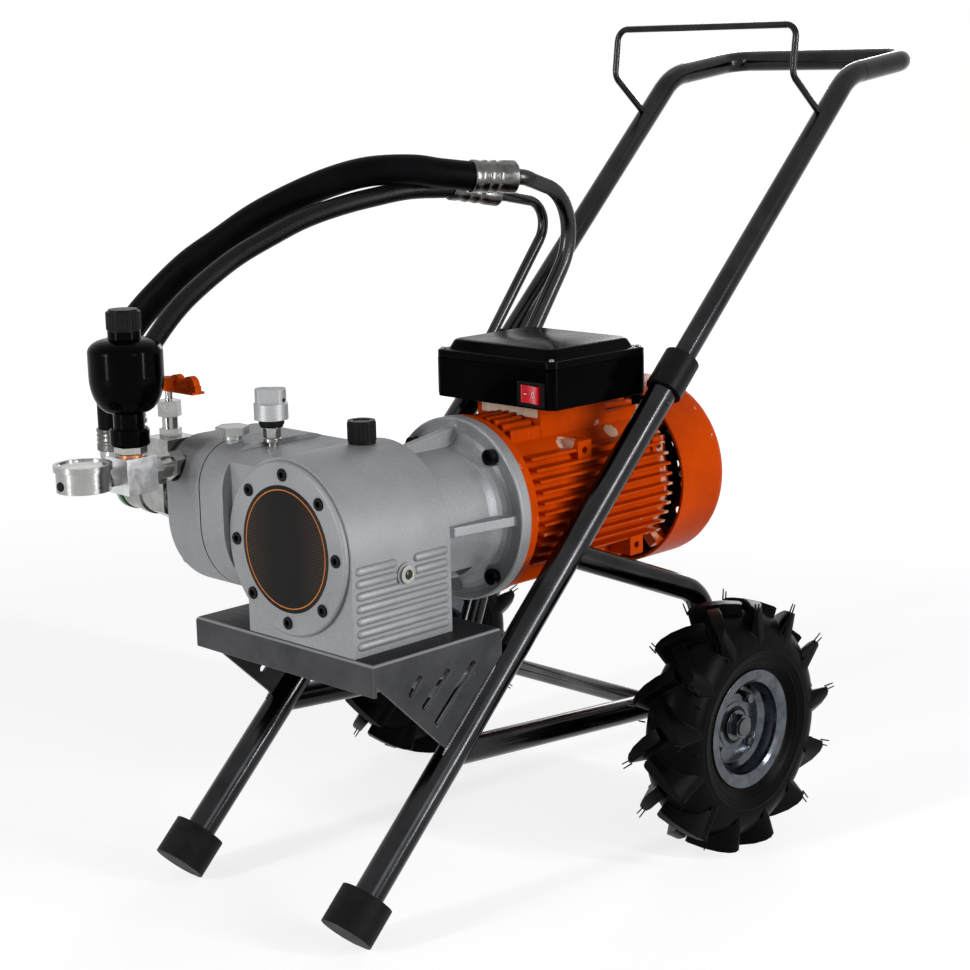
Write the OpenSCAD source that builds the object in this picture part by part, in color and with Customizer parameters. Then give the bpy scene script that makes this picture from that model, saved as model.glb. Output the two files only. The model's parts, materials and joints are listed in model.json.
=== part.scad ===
// Airless paint sprayer on a two-wheeled tube cart, in millimetres.
// Cart frame: X = 0 midway between the legs, Y = 0 at the feet, Z = 0 on the ground.
// +X is the side of the wheel nearest the switch, +Y runs from the feet to the handle.

/* [Frame] */
// Outer diameter of the cart's leg tubes
tube_d = 32; // [28:1:36]
// Wall of the leg tubes
tube_wall = 2.5; // [1.5:0.5:3]
// Distance between the two legs' centre lines
leg_gap = 270; // [260:2:300]
// Slope of the legs from the ground, degrees
leg_angle = 44.2; // [42:0.2:46]
// Length of a leg from its foot to its collar
leg_length = 713; // [690:1:740]
// Outer diameter of a rubber foot
foot_d = 57; // [46:1:64]
// Length of a rubber foot
foot_length = 42; // [30:1:60]
// Thickness of a foot's floor under the tube
foot_floor = 10; // [6:1:14]
// Diameter of the rear strut tubes
strut_d = 28; // [20:1:30]
// Height on the leg, along it, where the lower strut joins
lower_strut_s = 212; // [180:2:260]
// Height on the leg, along it, where the upper strut joins
upper_strut_s = 465; // [440:1:480]
// Outer diameter of the collars at the tops of the legs
collar_d = 42; // [38:1:50]
// Length of each collar
collar_length = 46; // [36:1:60]

/* [Handle] */
// Outer diameter of the handle tube
handle_d = 26; // [20:1:26]
// Wall of the handle tube
handle_wall = 2; // [1.5:0.5:3]
// Height of the handle's bend, along the leg's line
handle_bend_s = 1171; // [1120:1:1200]
// How far the handle's arms reach back from the bend
handle_reach = 132; // [100:1:160]
// Rise of the arms over that reach
handle_rise = 17; // [0:1:30]
// Length of the handle tube inside each leg at rest
handle_overlap = 90; // [60:1:120]
// Diameter of the wire of the hose hook
hook_wire = 8; // [5:0.5:10]
// Place of the hose hook's welds, along the leg's line
hook_s = 1099; // [1060:1:1110]

/* [Wheels] */
// Outer diameter of a tyre over its lugs
tyre_d = 279; // [260:1:290]
// Width of a tyre
tyre_w = 70; // [64:1:76]
// Distance from the cart's middle to a tyre's middle
wheel_x = 243; // [240:1:250]
// Distance from the feet back to the axle
axle_y = 478; // [450:1:500]
// Diameter of the axle
axle_d = 20; // [16:1:24]
// Diameter of the rim's flange
rim_d = 132; // [120:1:140]
// Number of lugs on each side of the tread
lug_count = 13; // [8:1:18]
// Height of the lugs above the tread
lug_h = 10; // [5:1:14]

/* [Tray] */
// Width of the pump tray
tray_w = 280; // [276:2:300]
// Length of the tray
tray_l = 180; // [170:1:190]
// Height of the tray's top above the ground
tray_z = 286.5; // [280:0.5:296]
// Distance of the tray's front edge behind the feet
tray_y = 43; // [36:1:46]
// Thickness of the tray's sheet
tray_t = 4; // [2:0.5:5]
// Depth of the tray's front skirt
tray_skirt = 33; // [20:1:40]

/* [Pump] */
// Sideways place of the crankshaft and motor
shaft_x = 17.7; // [10:0.1:24]
// Height of the crankshaft and motor above the tray
shaft_rise = 98.5; // [94:0.5:110]
// Radius of the housing's arch
arch_r = 93; // [92:0.5:98]
// Length of the housing from front to rear
housing_l = 135; // [130:1:150]
// Diameter of the round front cover
cover_d = 180; // [166:1:182]
// How far the front cover stands proud
cover_proud = 6; // [3:1:10]
// Circle of the cover's screws
cover_pcd = 153; // [150:1:156]
// Diameter of the badge disc
badge_d = 131; // [110:1:134]
// Radius of the pump body that reaches to the side
body_r = 82; // [78:1:84]
// Reach of the pump body from the shaft to the diaphragm
body_reach = 128; // [120:1:140]
// Thickness of the pump head
head_l = 58; // [50:1:66]
// Thickness of the diaphragm
diaphragm_t = 2; // [1:0.5:4]
// Throw of the eccentric
throw = 3; // [1:0.5:4]
// Radius of the eccentric's bearing
eccentric_r = 32; // [28:1:34]
// Radius of the piston
piston_r = 22; // [16:1:26]
// Diameter of the inlet valve's body
inlet_d = 52; // [40:1:56]
// Length of the inlet valve's body
inlet_l = 160; // [120:1:170]

/* [Outlet] */
// Side of the manifold block
block_w = 38; // [34:1:42]
// Height of the manifold block
block_h = 37.5; // [32:0.5:42]
// Gap between the manifold block and the pump head's port
block_gap = 43; // [38:1:50]
// Largest radius of the accumulator
bulb_r = 38.7; // [32:0.1:42]
// Height of the accumulator's straight wall
bulb_h = 24; // [16:1:36]
// Radius of the gauge's case
gauge_r = 27.8; // [24:0.2:30]
// Height of the gauge's case
gauge_h = 27.5; // [22:0.5:32]
// Length of the orange valve lever
lever_l = 52; // [40:1:58]
// Radius of the pressure knob
knob_r = 18; // [14:1:22]

/* [Motor] */
// Diameter of the bell housing's and motor's flange
flange_d = 202; // [196:1:206]
// Length of the bell housing
bell_l = 113; // [108:1:120]
// Radius of the motor's barrel
motor_r = 86; // [82:1:88]
// Reach of the cooling fins above the barrel
fin_h = 11; // [8:1:12]
// Length of the motor from flange to fan cover
motor_l = 246; // [240:1:256]
// Diameter of the fan cover
fan_cover_d = 216; // [210:1:220]
// Length of the fan cover
fan_cover_l = 85; // [76:1:100]
// Width of the terminal box
box_w = 180; // [160:2:184]
// Length of the terminal box
box_l = 158; // [140:2:162]
// Height of the terminal box's wall
box_h = 44; // [36:1:56]
// Height of the lid's raised panel
lid_h = 11; // [9:1:20]
// Wall of the terminal box
box_wall = 3; // [2:0.5:4]

/* [Hoses] */
// Outer diameter of the suction hose
suction_hose_d = 34; // [28:1:34]
// Outer diameter of the return hose
return_hose_d = 22; // [16:1:22]
// Diameter of the suction pick-up tube
suction_tube_d = 19; // [16:1:22]
// Diameter of the return tube
return_tube_d = 13; // [10:1:16]

/* [Hidden] */
$fn = 64;
// Clearances: welds, seats, running bores, sliding tubes; overlap of fused shapes; reach of a cut.
weld_gap = 0.15;
seat_gap = 0.1;
run_gap = 0.08;
slide_gap = 0.4;
fuse = 1;
through = 2;
// Tube bends are thinner than their straights by this much.
bend_step = 0.4;

// Leg line: a point at distance s from the foot's floor, and the directions along and above it.
foot_flat = 1;
leg_z0 = foot_d / 2 * cos(leg_angle) - foot_flat;
leg_x = leg_gap / 2;
leg_dir = [0, cos(leg_angle), sin(leg_angle)];
leg_normal = [0, -sin(leg_angle), cos(leg_angle)];
function leg_point(side, s) = [side * leg_x, 0, leg_z0] + s * leg_dir;
collar_start = leg_length - collar_length * 0.56;
handle_foot_s = leg_length - handle_overlap;
handle_bend_r = 70;
handle_corner_r = 30;
handle_bend = leg_point(1, handle_bend_s);
handle_end = handle_bend + [0, handle_reach, handle_rise];
hook_elbow = leg_point(1, hook_s) + [0, -60, 52];
hook_rise = [0, 7, 57];
hook_bend_r = 14;

// Wheels and axle.
axle_z = tyre_d / 2;
tyre_section_r = tyre_w / 2;
tread_r = tyre_d / 2 - lug_h;
lug_proud = 3;
lug_w = 14;
lug_tilt = 38;
carcass_t = 7;
bead_r = 54;
rim_half = 27;
rim_lip = 2.5;
bearing_r = 21;
bearing_w = 12;
bearing_seat_w = 12.5;
hub_r = 26;
hub_l = 38;
hub_in = 14;
washer_r = 17;
washer_t = 2.5;
axle_nut_flats = 24;
axle_nut_h = 10;
axle_half = wheel_x - hub_in + hub_l / 2 + washer_t + axle_nut_h + 2;
strut_wall = 2;
upper_strut_x = 176;
upper_strut_bend = [upper_strut_x, axle_y + 50, axle_z + 124.5];
upper_strut_bend_r = 45;

// Housing, body and shaft.
shaft_z = tray_z + shaft_rise;
housing_y = tray_y + 3;
housing_back = housing_y + housing_l;
housing_x0 = -52;
cavity_r = 68;
back_wall = 16;
cover_screw_count = 8;
screw_r = 4;
screw_head_r = 6.5;
screw_head_h = 6;
screw_l = 22;
badge_t = 1.5;
badge_recess = 1;
shaft_r = 14;
bearing_ring_r = 26;
shaft_bearing_w = 15;
front_bearing_y = housing_y + 6;
crank_y = housing_y + 70;
eccentric_w = 24;
body_y = crank_y;
body_z = shaft_z + 7;
body_top = shaft_z + arch_r - 1;
body_x = shaft_x - body_reach;
body_corner_r = 46;
head_x0 = body_x - diaphragm_t;
head_x1 = head_x0 - head_l;
head_bolt_r = 70;
head_bolt_angles = [0, 50, 95, 165, 225, 285];
small_bolt_r = 2.5;
small_bolt_head_r = 4.5;
small_bolt_y = 14.5;
small_bolt_z = 11.5;
chamber_r = 50;
chamber_l = 12;
piston_l = 58;
piston_x1 = shaft_x - eccentric_r - 2 * throw - 0.6;
rib_count = 7;
rib_pitch = 12.7;
rib_r = 5;
rib_proud = 2.4;
rib_top = shaft_z - 11;
glass_y = housing_y + 71;
glass_z = shaft_z - 25;
glass_boss_r = 12;
bezel_r = 9.5;
bezel_proud = 3;
breather_y = housing_y + 102;
breather_r = 15.3;
plug_boss_r = 8;
plug_x = body_x + plug_boss_r + 0.5;
plug_y = body_y - 42;
regulator_x = body_x + 44;
regulator_y = body_y - 18;
regulator_stem_h = 16;
regulator_collar_h = 7.5;
knob_h = 32;
spindle_r = 5;

// Manifold, accumulator and gauge.
port_y = body_y - body_r + 11;
port_boss_r = 14;
block_x = head_x1 + port_boss_r;
block_y = port_y - block_gap - block_w / 2;
block_z = shaft_z + 46;
block_top = block_z + block_h;
port_z = block_z + block_h / 2;
port_r = 9;
thread_l = 9;
spray_port_r = 6.6;
spray_port_l = 12;
seal_washer_t = 2.5;
adaptor_h = 9;
accumulator_z = block_top + seal_washer_t;
neck_z = accumulator_z + adaptor_h;
neck_l = 34;
bulb_round = 39;
bulb_bottom = neck_z + neck_l;
bulb_z = bulb_bottom + bulb_round;
bulb_top = bulb_z + bulb_h;
cap_z = bulb_top + 21.6;
cap_h = 22.4;
gauge_stem_l = 13.2;
gauge_rim = 2.2;
gauge_y = block_y - block_w / 2 - gauge_stem_l - gauge_r;
gauge_z = port_z - 8;
dial_z = gauge_z + gauge_h - 8;

// Return valve.
return_w = 40;
valve_x = head_x1 - return_w / 2;
valve_y = body_y - 56;
return_z = shaft_z + 55;
return_h = 34;
valve_z = return_z + return_h;
valve_stem_r = 4;
lever_z = valve_z + 50;
lever_t = 9;
return_port_z = return_z + return_h / 2;

// Inlet, hoses and pick-up tubes.
seal_t = 5;
inlet_end = head_x1 - inlet_l;
elbow_d = 34;
elbow_bore = 24;
elbow_r = 36;
hose_x = inlet_end - seal_t - elbow_r - 6;
hose_foot_z = body_z + 62;
ferrule_l = 26;
ferrule_wall = 2.5;
return_elbow_d = 20;
return_elbow_bore = 12;
return_elbow_r = 22;
return_elbow_x = valve_x - 64;
return_foot_z = return_port_z + 44;
suction_ferrule = [[-78, 482, 729], [-98, 431, 732]];
return_ferrule = [[-120, 497, 706], [-132, 431, 717]];
tube_wall_small = 1.5;
suction_tube_bend = [-88, 625, 690];
suction_tube_end = [-95, 377, 336];
return_tube_bend = [-122, 602, 687];
return_tube_end = [-122, 430, 474];
clamp_s = leg_length - 53;
clamp_t = 10;
clamp_ring = 5;
strainer_r = 15;
strainer_l = 60;

// Hand-laid routes of the two hoses, from their ferrules to the pump.
suction_route = concat([suction_ferrule[1]],
    [[-114, 397, 737], [-131, 370, 742], [-161, 333, 741], [-190, 302, 731], [-222, 269, 713],
     [-254, 239, 691], [-282, 211, 665], [-307, 185, 641], [-330, 162, 612], [-351, 141, 581],
     [-367, 123, 547], [-376, 116, 515]],
    [[hose_x, body_y, hose_foot_z + suction_hose_d], [hose_x, body_y, hose_foot_z]]);
return_route = concat([return_ferrule[1]],
    [[-146, 381, 718], [-160, 338, 712], [-173, 297, 704], [-187, 256, 692], [-200, 221, 676],
     [-215, 181, 655], [-226, 144, 630], [-236, 115, 605], [-245, 90, 575], [-252, 70, 544]],
    [[return_elbow_x, valve_y, return_foot_z + return_hose_d], [return_elbow_x, valve_y, return_foot_z]]);

// Motor.
bell_y = housing_back;
flange_y = bell_y + bell_l;
flange_t = 14;
barrel_r = 72;
bell_wall = 8;
bell_fillet_r = 20;
bell_screw_place = 38;
bolt_pcd = 176;
bolt_angle = 48;
bolt_r = 5;
bolt_head_r = 8.5;
bolt_head_h = 8;
motor_flange_t = 12;
motor_end = flange_y + motor_l;
motor_bore_r = motor_r - 6;
shield_t = 20;
fin_t = 3;
fin_pitch = 11.5;
fin_start = flange_y + 26;
fin_end = motor_end - 6;
stator_y = flange_y + 58;
stator_l = 130;
winding_l = 16;
rotor_r = 46;
fan_y = motor_end + 18;
fan_l = 30;
fan_r = 92;
fan_blades = 9;
fan_cover_wall = 3;
fan_cover_round = 20;
box_x = shaft_x;
box_y = flange_y + 47;
box_z = shaft_z + 108;
box_top = box_z + box_h;
lid_lip = 9;
lid_inset = 14;
lid_bevel = 8;
switch_x = box_x + 60;
switch_z = box_z + 16;
bezel_w = 38;
bezel_h = 27;
bezel_t = 2.5;
bezel_depth = 18;
rocker_w = 27.2;
rocker_h = 19;
rocker_tilt = 8;
rocker_y = box_y + 4;

// Origin: the middle of the bounding box in X and Y, on the ground.
x_min = hose_x - elbow_d / 2 - ferrule_wall;
x_max = wheel_x + tyre_w / 2 + lug_proud;
y_min = gauge_y - gauge_r - gauge_rim;
y_max = handle_end.y + handle_d / 2;
origin = [(x_min + x_max) / 2, (y_min + y_max) / 2, 0];

// ---- Shared shapes ----

function unit(v) = v / norm(v);
// Length that a bend of radius r at p takes from each straight.
function bend_cut(a, p, b, r) =
    let (u = unit(p - a), v = unit(b - p)) r * tan(acos(max(-1, min(1, u * v))) / 2);
// Points of an arc in the plane, from angle a0 to a1.
function arc(x, y, r, a0, a1, steps) =
    [for (i = [0 : steps]) let (a = a0 + (a1 - a0) * i / steps) [x + r * cos(a), y + r * sin(a)]];

// Moves a piece from the cart frame to the part's own frame.
module cart() {
    translate(-origin) children();
}

// Cylinder from point a to point b.
module rod(a, b, d) {
    v = b - a;
    translate(a)
        rotate([0, acos(v.z / norm(v)), atan2(v.y, v.x)])
            cylinder(h = norm(v), d = d);
}

// Part of a torus that turns a bar at corner p, on the way from a to b, and laps into both rods.
module bend_at(a, p, b, r, d) {
    lap = 0.6 / r * 180 / PI;
    u = unit(p - a);
    v = unit(b - p);
    inward = unit(v - (u * v) * u);
    axis = cross(u, inward);
    centre = p - u * bend_cut(a, p, b, r) + inward * r;
    multmatrix([[-inward.x, u.x, axis.x, centre.x],
                [-inward.y, u.y, axis.y, centre.y],
                [-inward.z, u.z, axis.z, centre.z],
                [0, 0, 0, 1]])
        rotate([0, 0, -lap])
            rotate_extrude(angle = acos(u * v) + 2 * lap) translate([r, 0]) circle(d = d - bend_step);
}

// Round bar along points, with a bend radius for each inner point and longer ends if asked.
module bent_bar(points, radii, d, extra = 0) {
    last = len(points) - 1;
    for (i = [0 : last - 1]) {
        u = unit(points[i + 1] - points[i]);
        cut0 = i == 0 ? -extra : bend_cut(points[i - 1], points[i], points[i + 1], radii[i - 1]);
        cut1 = i == last - 1 ? -extra : bend_cut(points[i], points[i + 1], points[i + 2], radii[i]);
        rod(points[i] + u * cut0, points[i + 1] - u * cut1, d);
    }
    for (i = [1 : last - 1])
        bend_at(points[i - 1], points[i], points[i + 1], radii[i - 1], d);
}

// Bent bar with a bore.
module bent_tube(points, radii, d, bore) {
    difference() {
        bent_bar(points, radii, d);
        bent_bar(points, radii, bore, through);
    }
}

// Children with local +Z along the leg and local -Y above it, at distance s.
module on_leg(side, s) {
    translate(leg_point(side, s)) rotate([leg_angle - 90, 0, 0]) children();
}

// Cylinder along Y from y0 to y1 about (x, z).
module y_cylinder(x, z, y0, y1, r) {
    translate([x, y0, z]) rotate([-90, 0, 0]) cylinder(h = y1 - y0, r = r);
}

// Cylinder along X from x0 to x1 about (y, z).
module x_cylinder(y, z, x0, x1, r) {
    translate([x0, y, z]) rotate([0, 90, 0]) cylinder(h = x1 - x0, r = r);
}

// Cylinder along the crankshaft's line.
module shaft_cylinder(y0, y1, r) {
    y_cylinder(shaft_x, shaft_z, y0, y1, r);
}

// Profile of [radius, distance from y0] turned about the crankshaft's line.
module shaft_revolve(y0) {
    translate([shaft_x, y0, shaft_z]) rotate([-90, 0, 0]) rotate_extrude() children();
}

// Outline in X and Z drawn out from y0 to y1.
module y_extrude(y0, y1) {
    translate([0, y1, 0]) rotate([90, 0, 0]) linear_extrude(y1 - y0) children();
}

// Outline in Y and Z drawn out from x0 to x1.
module x_extrude(x0, x1) {
    translate([x0, 0, 0]) rotate([90, 0, 90]) linear_extrude(x1 - x0) children();
}

// Hexagonal prism along Z, by its width across flats.
module hex(flats, h) {
    cylinder(h = h, d = flats / cos(30), $fn = 6);
}

// Ring along Z.
module ring(r, bore, h) {
    difference() {
        cylinder(h = h, r = r);
        translate([0, 0, -through]) cylinder(h = h + 2 * through, r = bore);
    }
}

// Round tube swept along a route with one ring at each point, its first end facing the point before.
module swept_hose(before, route, d) {
    sides = 12;
    last = len(route) - 1;
    plane_normal = [0.8, -0.6, 0];
    heading = [for (i = [0 : last])
        i == 0 ? unit(route[0] - before) : unit(route[min(i + 1, last)] - route[i - 1])];
    rings = [for (i = [0 : last])
        let (n = unit(cross(heading[i], plane_normal)), b = cross(heading[i], n))
        for (k = [0 : sides - 1])
            route[i] + d / 2 * (cos(360 * k / sides) * n + sin(360 * k / sides) * b)];
    walls = [for (i = [0 : last - 1], k = [0 : sides - 1])
        let (a = i * sides + k, b = i * sides + (k + 1) % sides)
        each [[a, b + sides, b], [a, a + sides, b + sides]]];
    start = [for (k = [1 : sides - 2]) [0, k, k + 1]];
    base = last * sides;
    end = [for (k = [1 : sides - 2]) [base, base + k + 1, base + k]];
    polyhedron(points = rings, faces = concat(walls, start, end), convexity = 6);
}

// ---- Cart ----

// Outside of both legs, larger all round by extra.
module leg_bars(extra) {
    for (side = [-1, 1])
        rod(leg_point(side, foot_floor), leg_point(side, leg_length), tube_d + 2 * extra);
}

// Outside of the axle, larger all round by extra.
module axle_bar(extra) {
    x_cylinder(axle_y, axle_z, -axle_half, axle_half, axle_d / 2 + extra);
}

module frame_tubes() {
    color("dimgray") cart() difference() {
        leg_bars(0);
        for (side = [-1, 1])
            rod(leg_point(side, foot_floor - through), leg_point(side, leg_length + through),
                tube_d - 2 * tube_wall);
    }
}

module rubber_feet() {
    ground = 2 * foot_d;
    color("black") cart() difference() {
        for (side = [-1, 1])
            on_leg(side, 0) cylinder(h = foot_length, d = foot_d);
        for (side = [-1, 1])
            on_leg(side, foot_floor) cylinder(h = foot_length, d = tube_d + 2 * seat_gap);
        translate([-leg_gap, -ground, -ground]) cube([2 * leg_gap, 2 * ground, ground]);
    }
}

module handle_collars() {
    color("black") cart()
        for (side = [-1, 1])
            difference() {
                on_leg(side, collar_start) cylinder(h = collar_length, d = collar_d);
                rod(leg_point(side, collar_start - through), leg_point(side, leg_length + seat_gap),
                    tube_d + 2 * seat_gap);
                rod(leg_point(side, leg_length), leg_point(side, leg_length + collar_length),
                    handle_d + 2 * slide_gap);
            }
}

// Path of the handle, from its end inside one leg to its end inside the other.
function handle_path() = [leg_point(-1, handle_foot_s),
    [-handle_bend.x, handle_bend.y, handle_bend.z], [-handle_end.x, handle_end.y, handle_end.z],
    handle_end, handle_bend, leg_point(1, handle_foot_s)];
handle_radii = [handle_bend_r, handle_corner_r, handle_corner_r, handle_bend_r];

module handle_tube() {
    color("dimgray") cart()
        bent_tube(handle_path(), handle_radii, handle_d, handle_d - 2 * handle_wall);
}

module hose_hook() {
    weld = leg_point(1, hook_s) + leg_normal * (handle_d / 2 - 1);
    top = hook_elbow + hook_rise;
    function left(p) = [-p.x, p.y, p.z];
    color("dimgray") cart() difference() {
        bent_bar([left(weld), left(hook_elbow), left(top), top, hook_elbow, weld],
            [hook_bend_r, hook_bend_r, hook_bend_r, hook_bend_r], hook_wire);
        bent_bar(handle_path(), handle_radii, handle_d + 2 * weld_gap);
    }
}

module tray() {
    side_x = tray_w / 2 - tray_t;
    slot_w = 8;
    under = tray_z - tray_t;
    back = tray_y + tray_l;
    gusset_back = 32;
    gusset_reach = 99;
    gusset_drop = 112;
    gusset_front = 18;
    gusset = [[tray_y, tray_z], [back, tray_z], [back, tray_z - gusset_back],
        [tray_y + gusset_reach, tray_z - gusset_drop], [tray_y, tray_z - gusset_front]];
    slots = [[[50, -41], [62, -27]], [[68, -58], [101, -29]], [[85, -78], [138, -29]]];
    color("gray") cart() difference() {
        union() {
            translate([-tray_w / 2, tray_y, under]) cube([tray_w, tray_l, tray_t]);
            translate([-tray_w / 2, tray_y, tray_z - tray_skirt])
                cube([tray_w, tray_t, tray_skirt]);
            for (side = [0, 1])
                mirror([side, 0, 0]) x_extrude(side_x, side_x + tray_t) polygon(gusset);
        }
        leg_bars(weld_gap);
        for (slot = slots, end = [0, 1])
            x_cylinder(tray_y + slot[end].x, tray_z + slot[end].y, -tray_w, tray_w, slot_w / 2);
        for (slot = slots)
            translate([-tray_w, tray_y + slot[0].x, tray_z + slot[0].y])
                rotate([atan2(slot[1].y - slot[0].y, slot[1].x - slot[0].x), 0, 0])
                    translate([0, 0, -slot_w / 2 + seat_gap])
                        cube([2 * tray_w, norm(slot[1] - slot[0]), slot_w - 2 * seat_gap]);
        base_bolts(bolt_r + slide_gap, through);
    }
}

// Shanks of the four bolts that hold the pump to the tray.
module base_bolts(r, extra) {
    edge = 14;
    for (x = [housing_x0 + edge, shaft_x + arch_r - edge], y = [housing_y + edge, housing_back - edge])
        translate([x, y, tray_z - tray_t - extra])
            cylinder(h = tray_t + extra + base_bolt_l, r = r);
}
base_bolt_l = 16;

// Centre lines of the struts on the side with X above 0.
lower_strut_path = [leg_point(1, lower_strut_s), [leg_x, axle_y, axle_z]];
upper_strut_path = [leg_point(1, upper_strut_s), upper_strut_bend, [upper_strut_x, axle_y, axle_z]];

module strut_bars(d, extra) {
    for (side = [0, 1])
        mirror([side, 0, 0]) {
            u = unit(lower_strut_path[1] - lower_strut_path[0]);
            v = unit(upper_strut_path[2] - upper_strut_path[1]);
            rod(lower_strut_path[0], lower_strut_path[1] + u * (strut_d / 2 + extra), d);
            bent_bar([upper_strut_path[0], upper_strut_path[1],
                upper_strut_path[2] + v * (strut_d / 2 + extra)], [upper_strut_bend_r], d);
        }
}

module rear_struts() {
    color("dimgray") cart() difference() {
        strut_bars(strut_d, 0);
        strut_bars(strut_d - 2 * strut_wall, through);
        leg_bars(weld_gap);
        axle_bar(weld_gap);
    }
}

module axle() {
    shoulder_r = 13;
    color("silver") cart() {
        axle_bar(0);
        for (side = [0, 1])
            mirror([side, 0, 0])
                x_cylinder(axle_y, axle_z, upper_strut_x + strut_d / 2 + seat_gap,
                    wheel_x - hub_in - hub_l / 2 + 0.2, shoulder_r);
    }
}

// Children about the axle's line with local +Z outwards and 0 at the middle of the wheel.
module at_wheel(side) {
    mirror([side < 0 ? 1 : 0, 0, 0])
        translate([wheel_x, axle_y, axle_z]) rotate([0, 90, 0]) children();
}

module tyre(side) {
    envelope_r = tyre_section_r + lug_proud;
    lug_l = tyre_w * 0.75;
    lug_side = lug_l / 2 - 5;
    lug_base = tyre_d / 2 - envelope_r - 2;
    centre_r = tread_r - tyre_section_r;
    flange_x = rim_half - rim_lip - seat_gap;
    flange_r = rim_d / 2 + 0.5;
    inner_r = min(tyre_section_r - carcass_t, norm([centre_r - flange_r - carcass_t / 2, flange_x]));
    phase = -lug_side * tan(lug_tilt) / (tyre_d / 2) * 180 / PI;
    at_wheel(side) difference() {
        union() {
            rotate_extrude() translate([centre_r, 0]) circle(r = tyre_section_r);
            intersection() {
                rotate_extrude() translate([tyre_d / 2 - envelope_r, 0]) circle(r = envelope_r);
                for (i = [0 : lug_count - 1], half = [-1, 1])
                    rotate([0, 0, 360 / lug_count * (i + (half > 0 ? 0.5 : 0)) + phase])
                        translate([lug_base, 0, half * lug_side])
                            rotate([half * lug_tilt, 0, 0])
                                translate([0, -lug_w / 2, -lug_l / 2]) cube([tyre_d, lug_w, lug_l]);
            }
        }
        rotate_extrude() translate([centre_r, 0]) circle(r = inner_r);
        cylinder(h = tyre_w * 2, r = bead_r + seat_gap, center = true);
        for (half = [0, 1])
            mirror([0, 0, half]) translate([0, 0, flange_x]) cylinder(h = tyre_w, r = flange_r);
    }
}

module tyre_left() {
    color("black") cart() tyre(1);
}

module tyre_right() {
    color("black") cart() tyre(-1);
}

module rim(side) {
    flange_r = rim_d / 2;
    web_x = 1.5;
    channel_r = bead_r - rim_lip;
    hub_half = hub_l / 2;
    bolt_circle_r = 35;
    valve_r = 42;
    at_wheel(side) {
        difference() {
            union() {
                rotate_extrude() polygon([[bead_r, -rim_half + rim_lip], [flange_r, -rim_half + rim_lip],
                    [flange_r, -rim_half], [channel_r, -rim_half], [channel_r, web_x - 4],
                    [channel_r - 8, web_x], [hub_r - fuse, web_x], [hub_r - fuse, web_x + rim_lip],
                    [43, web_x + rim_lip], [47.5, 10], [51, 20], [52, 24], [55.5, rim_half - 0.6],
                    [flange_r, rim_half], [flange_r, rim_half - rim_lip], [bead_r, rim_half - rim_lip]]);
                translate([0, 0, -hub_half - hub_in]) cylinder(h = hub_l, r = hub_r);
            }
            translate([0, 0, -hub_in]) {
                translate([0, 0, -hub_half - through]) cylinder(h = hub_l + 2 * through, r = bearing_r - 4);
                for (half = [0, 1])
                    mirror([0, 0, half]) translate([0, 0, hub_half - bearing_seat_w])
                        cylinder(h = bearing_seat_w + through, r = bearing_r + run_gap);
            }
            for (y = [-5, 5])
                translate([-valve_r, y, -through]) cylinder(h = rim_half, r = 4);
            translate([-valve_r - 4, -5, -through]) cube([8, 10, rim_half]);
        }
        for (i = [0 : 3])
            rotate([0, 0, 90 * i + 45]) translate([bolt_circle_r, 0, web_x + rim_lip - fuse])
                hex(10, 6);
    }
}

module rim_left() {
    color("silver") cart() rim(1);
}

module rim_right() {
    color("silver") cart() rim(-1);
}

module wheel_bearings() {
    color("silver") cart()
        for (side = [-1, 1], half = [-1, 1])
            at_wheel(side)
                translate([0, 0, half * (hub_l / 2 - bearing_seat_w / 2) - bearing_w / 2 - hub_in])
                ring(bearing_r, axle_d / 2 + seat_gap, bearing_w);
}

module axle_nuts() {
    outside = hub_l / 2 - hub_in + 0.2;
    color("silver") cart()
        for (side = [-1, 1])
            at_wheel(side) difference() {
                union() {
                    translate([0, 0, outside]) cylinder(h = washer_t, r = washer_r);
                    translate([0, 0, outside + washer_t - 0.2]) hex(axle_nut_flats, axle_nut_h);
                }
                cylinder(h = rim_half + through, r = axle_d / 2 + seat_gap);
            }
}

// ---- Pump ----

// Outline of the pump body and head in Y and Z: round below, square-shouldered above.
module body_outline(inset) {
    half = body_r - inset;
    shoulder = body_r - body_corner_r;
    corner_z = body_top - body_corner_r;
    translate([body_y, body_z]) circle(r = half);
    for (side = [-1, 1])
        translate([body_y + side * shoulder, corner_z]) circle(r = body_corner_r - inset);
    translate([body_y - half, body_z]) square([2 * half, corner_z - body_z]);
    translate([body_y - shoulder, body_z]) square([2 * shoulder, body_top - inset - body_z]);
}

module side_ribs() {
    face = shaft_x + arch_r + rib_proud - rib_r;
    for (i = [0 : rib_count - 1]) {
        z = rib_top - i * rib_pitch;
        y0 = housing_y + 9;
        y1 = housing_back - 9;
        spans = i < 2 ? [[y0, glass_y - 16], [glass_y + 16, y1]] : [[y0, y1]];
        for (span = spans) {
            y_cylinder(face, z, span[0], span[1], rib_r);
            translate([face, span[0], z]) sphere(r = rib_r);
            translate([face, span[1], z]) sphere(r = rib_r);
        }
    }
}

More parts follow.
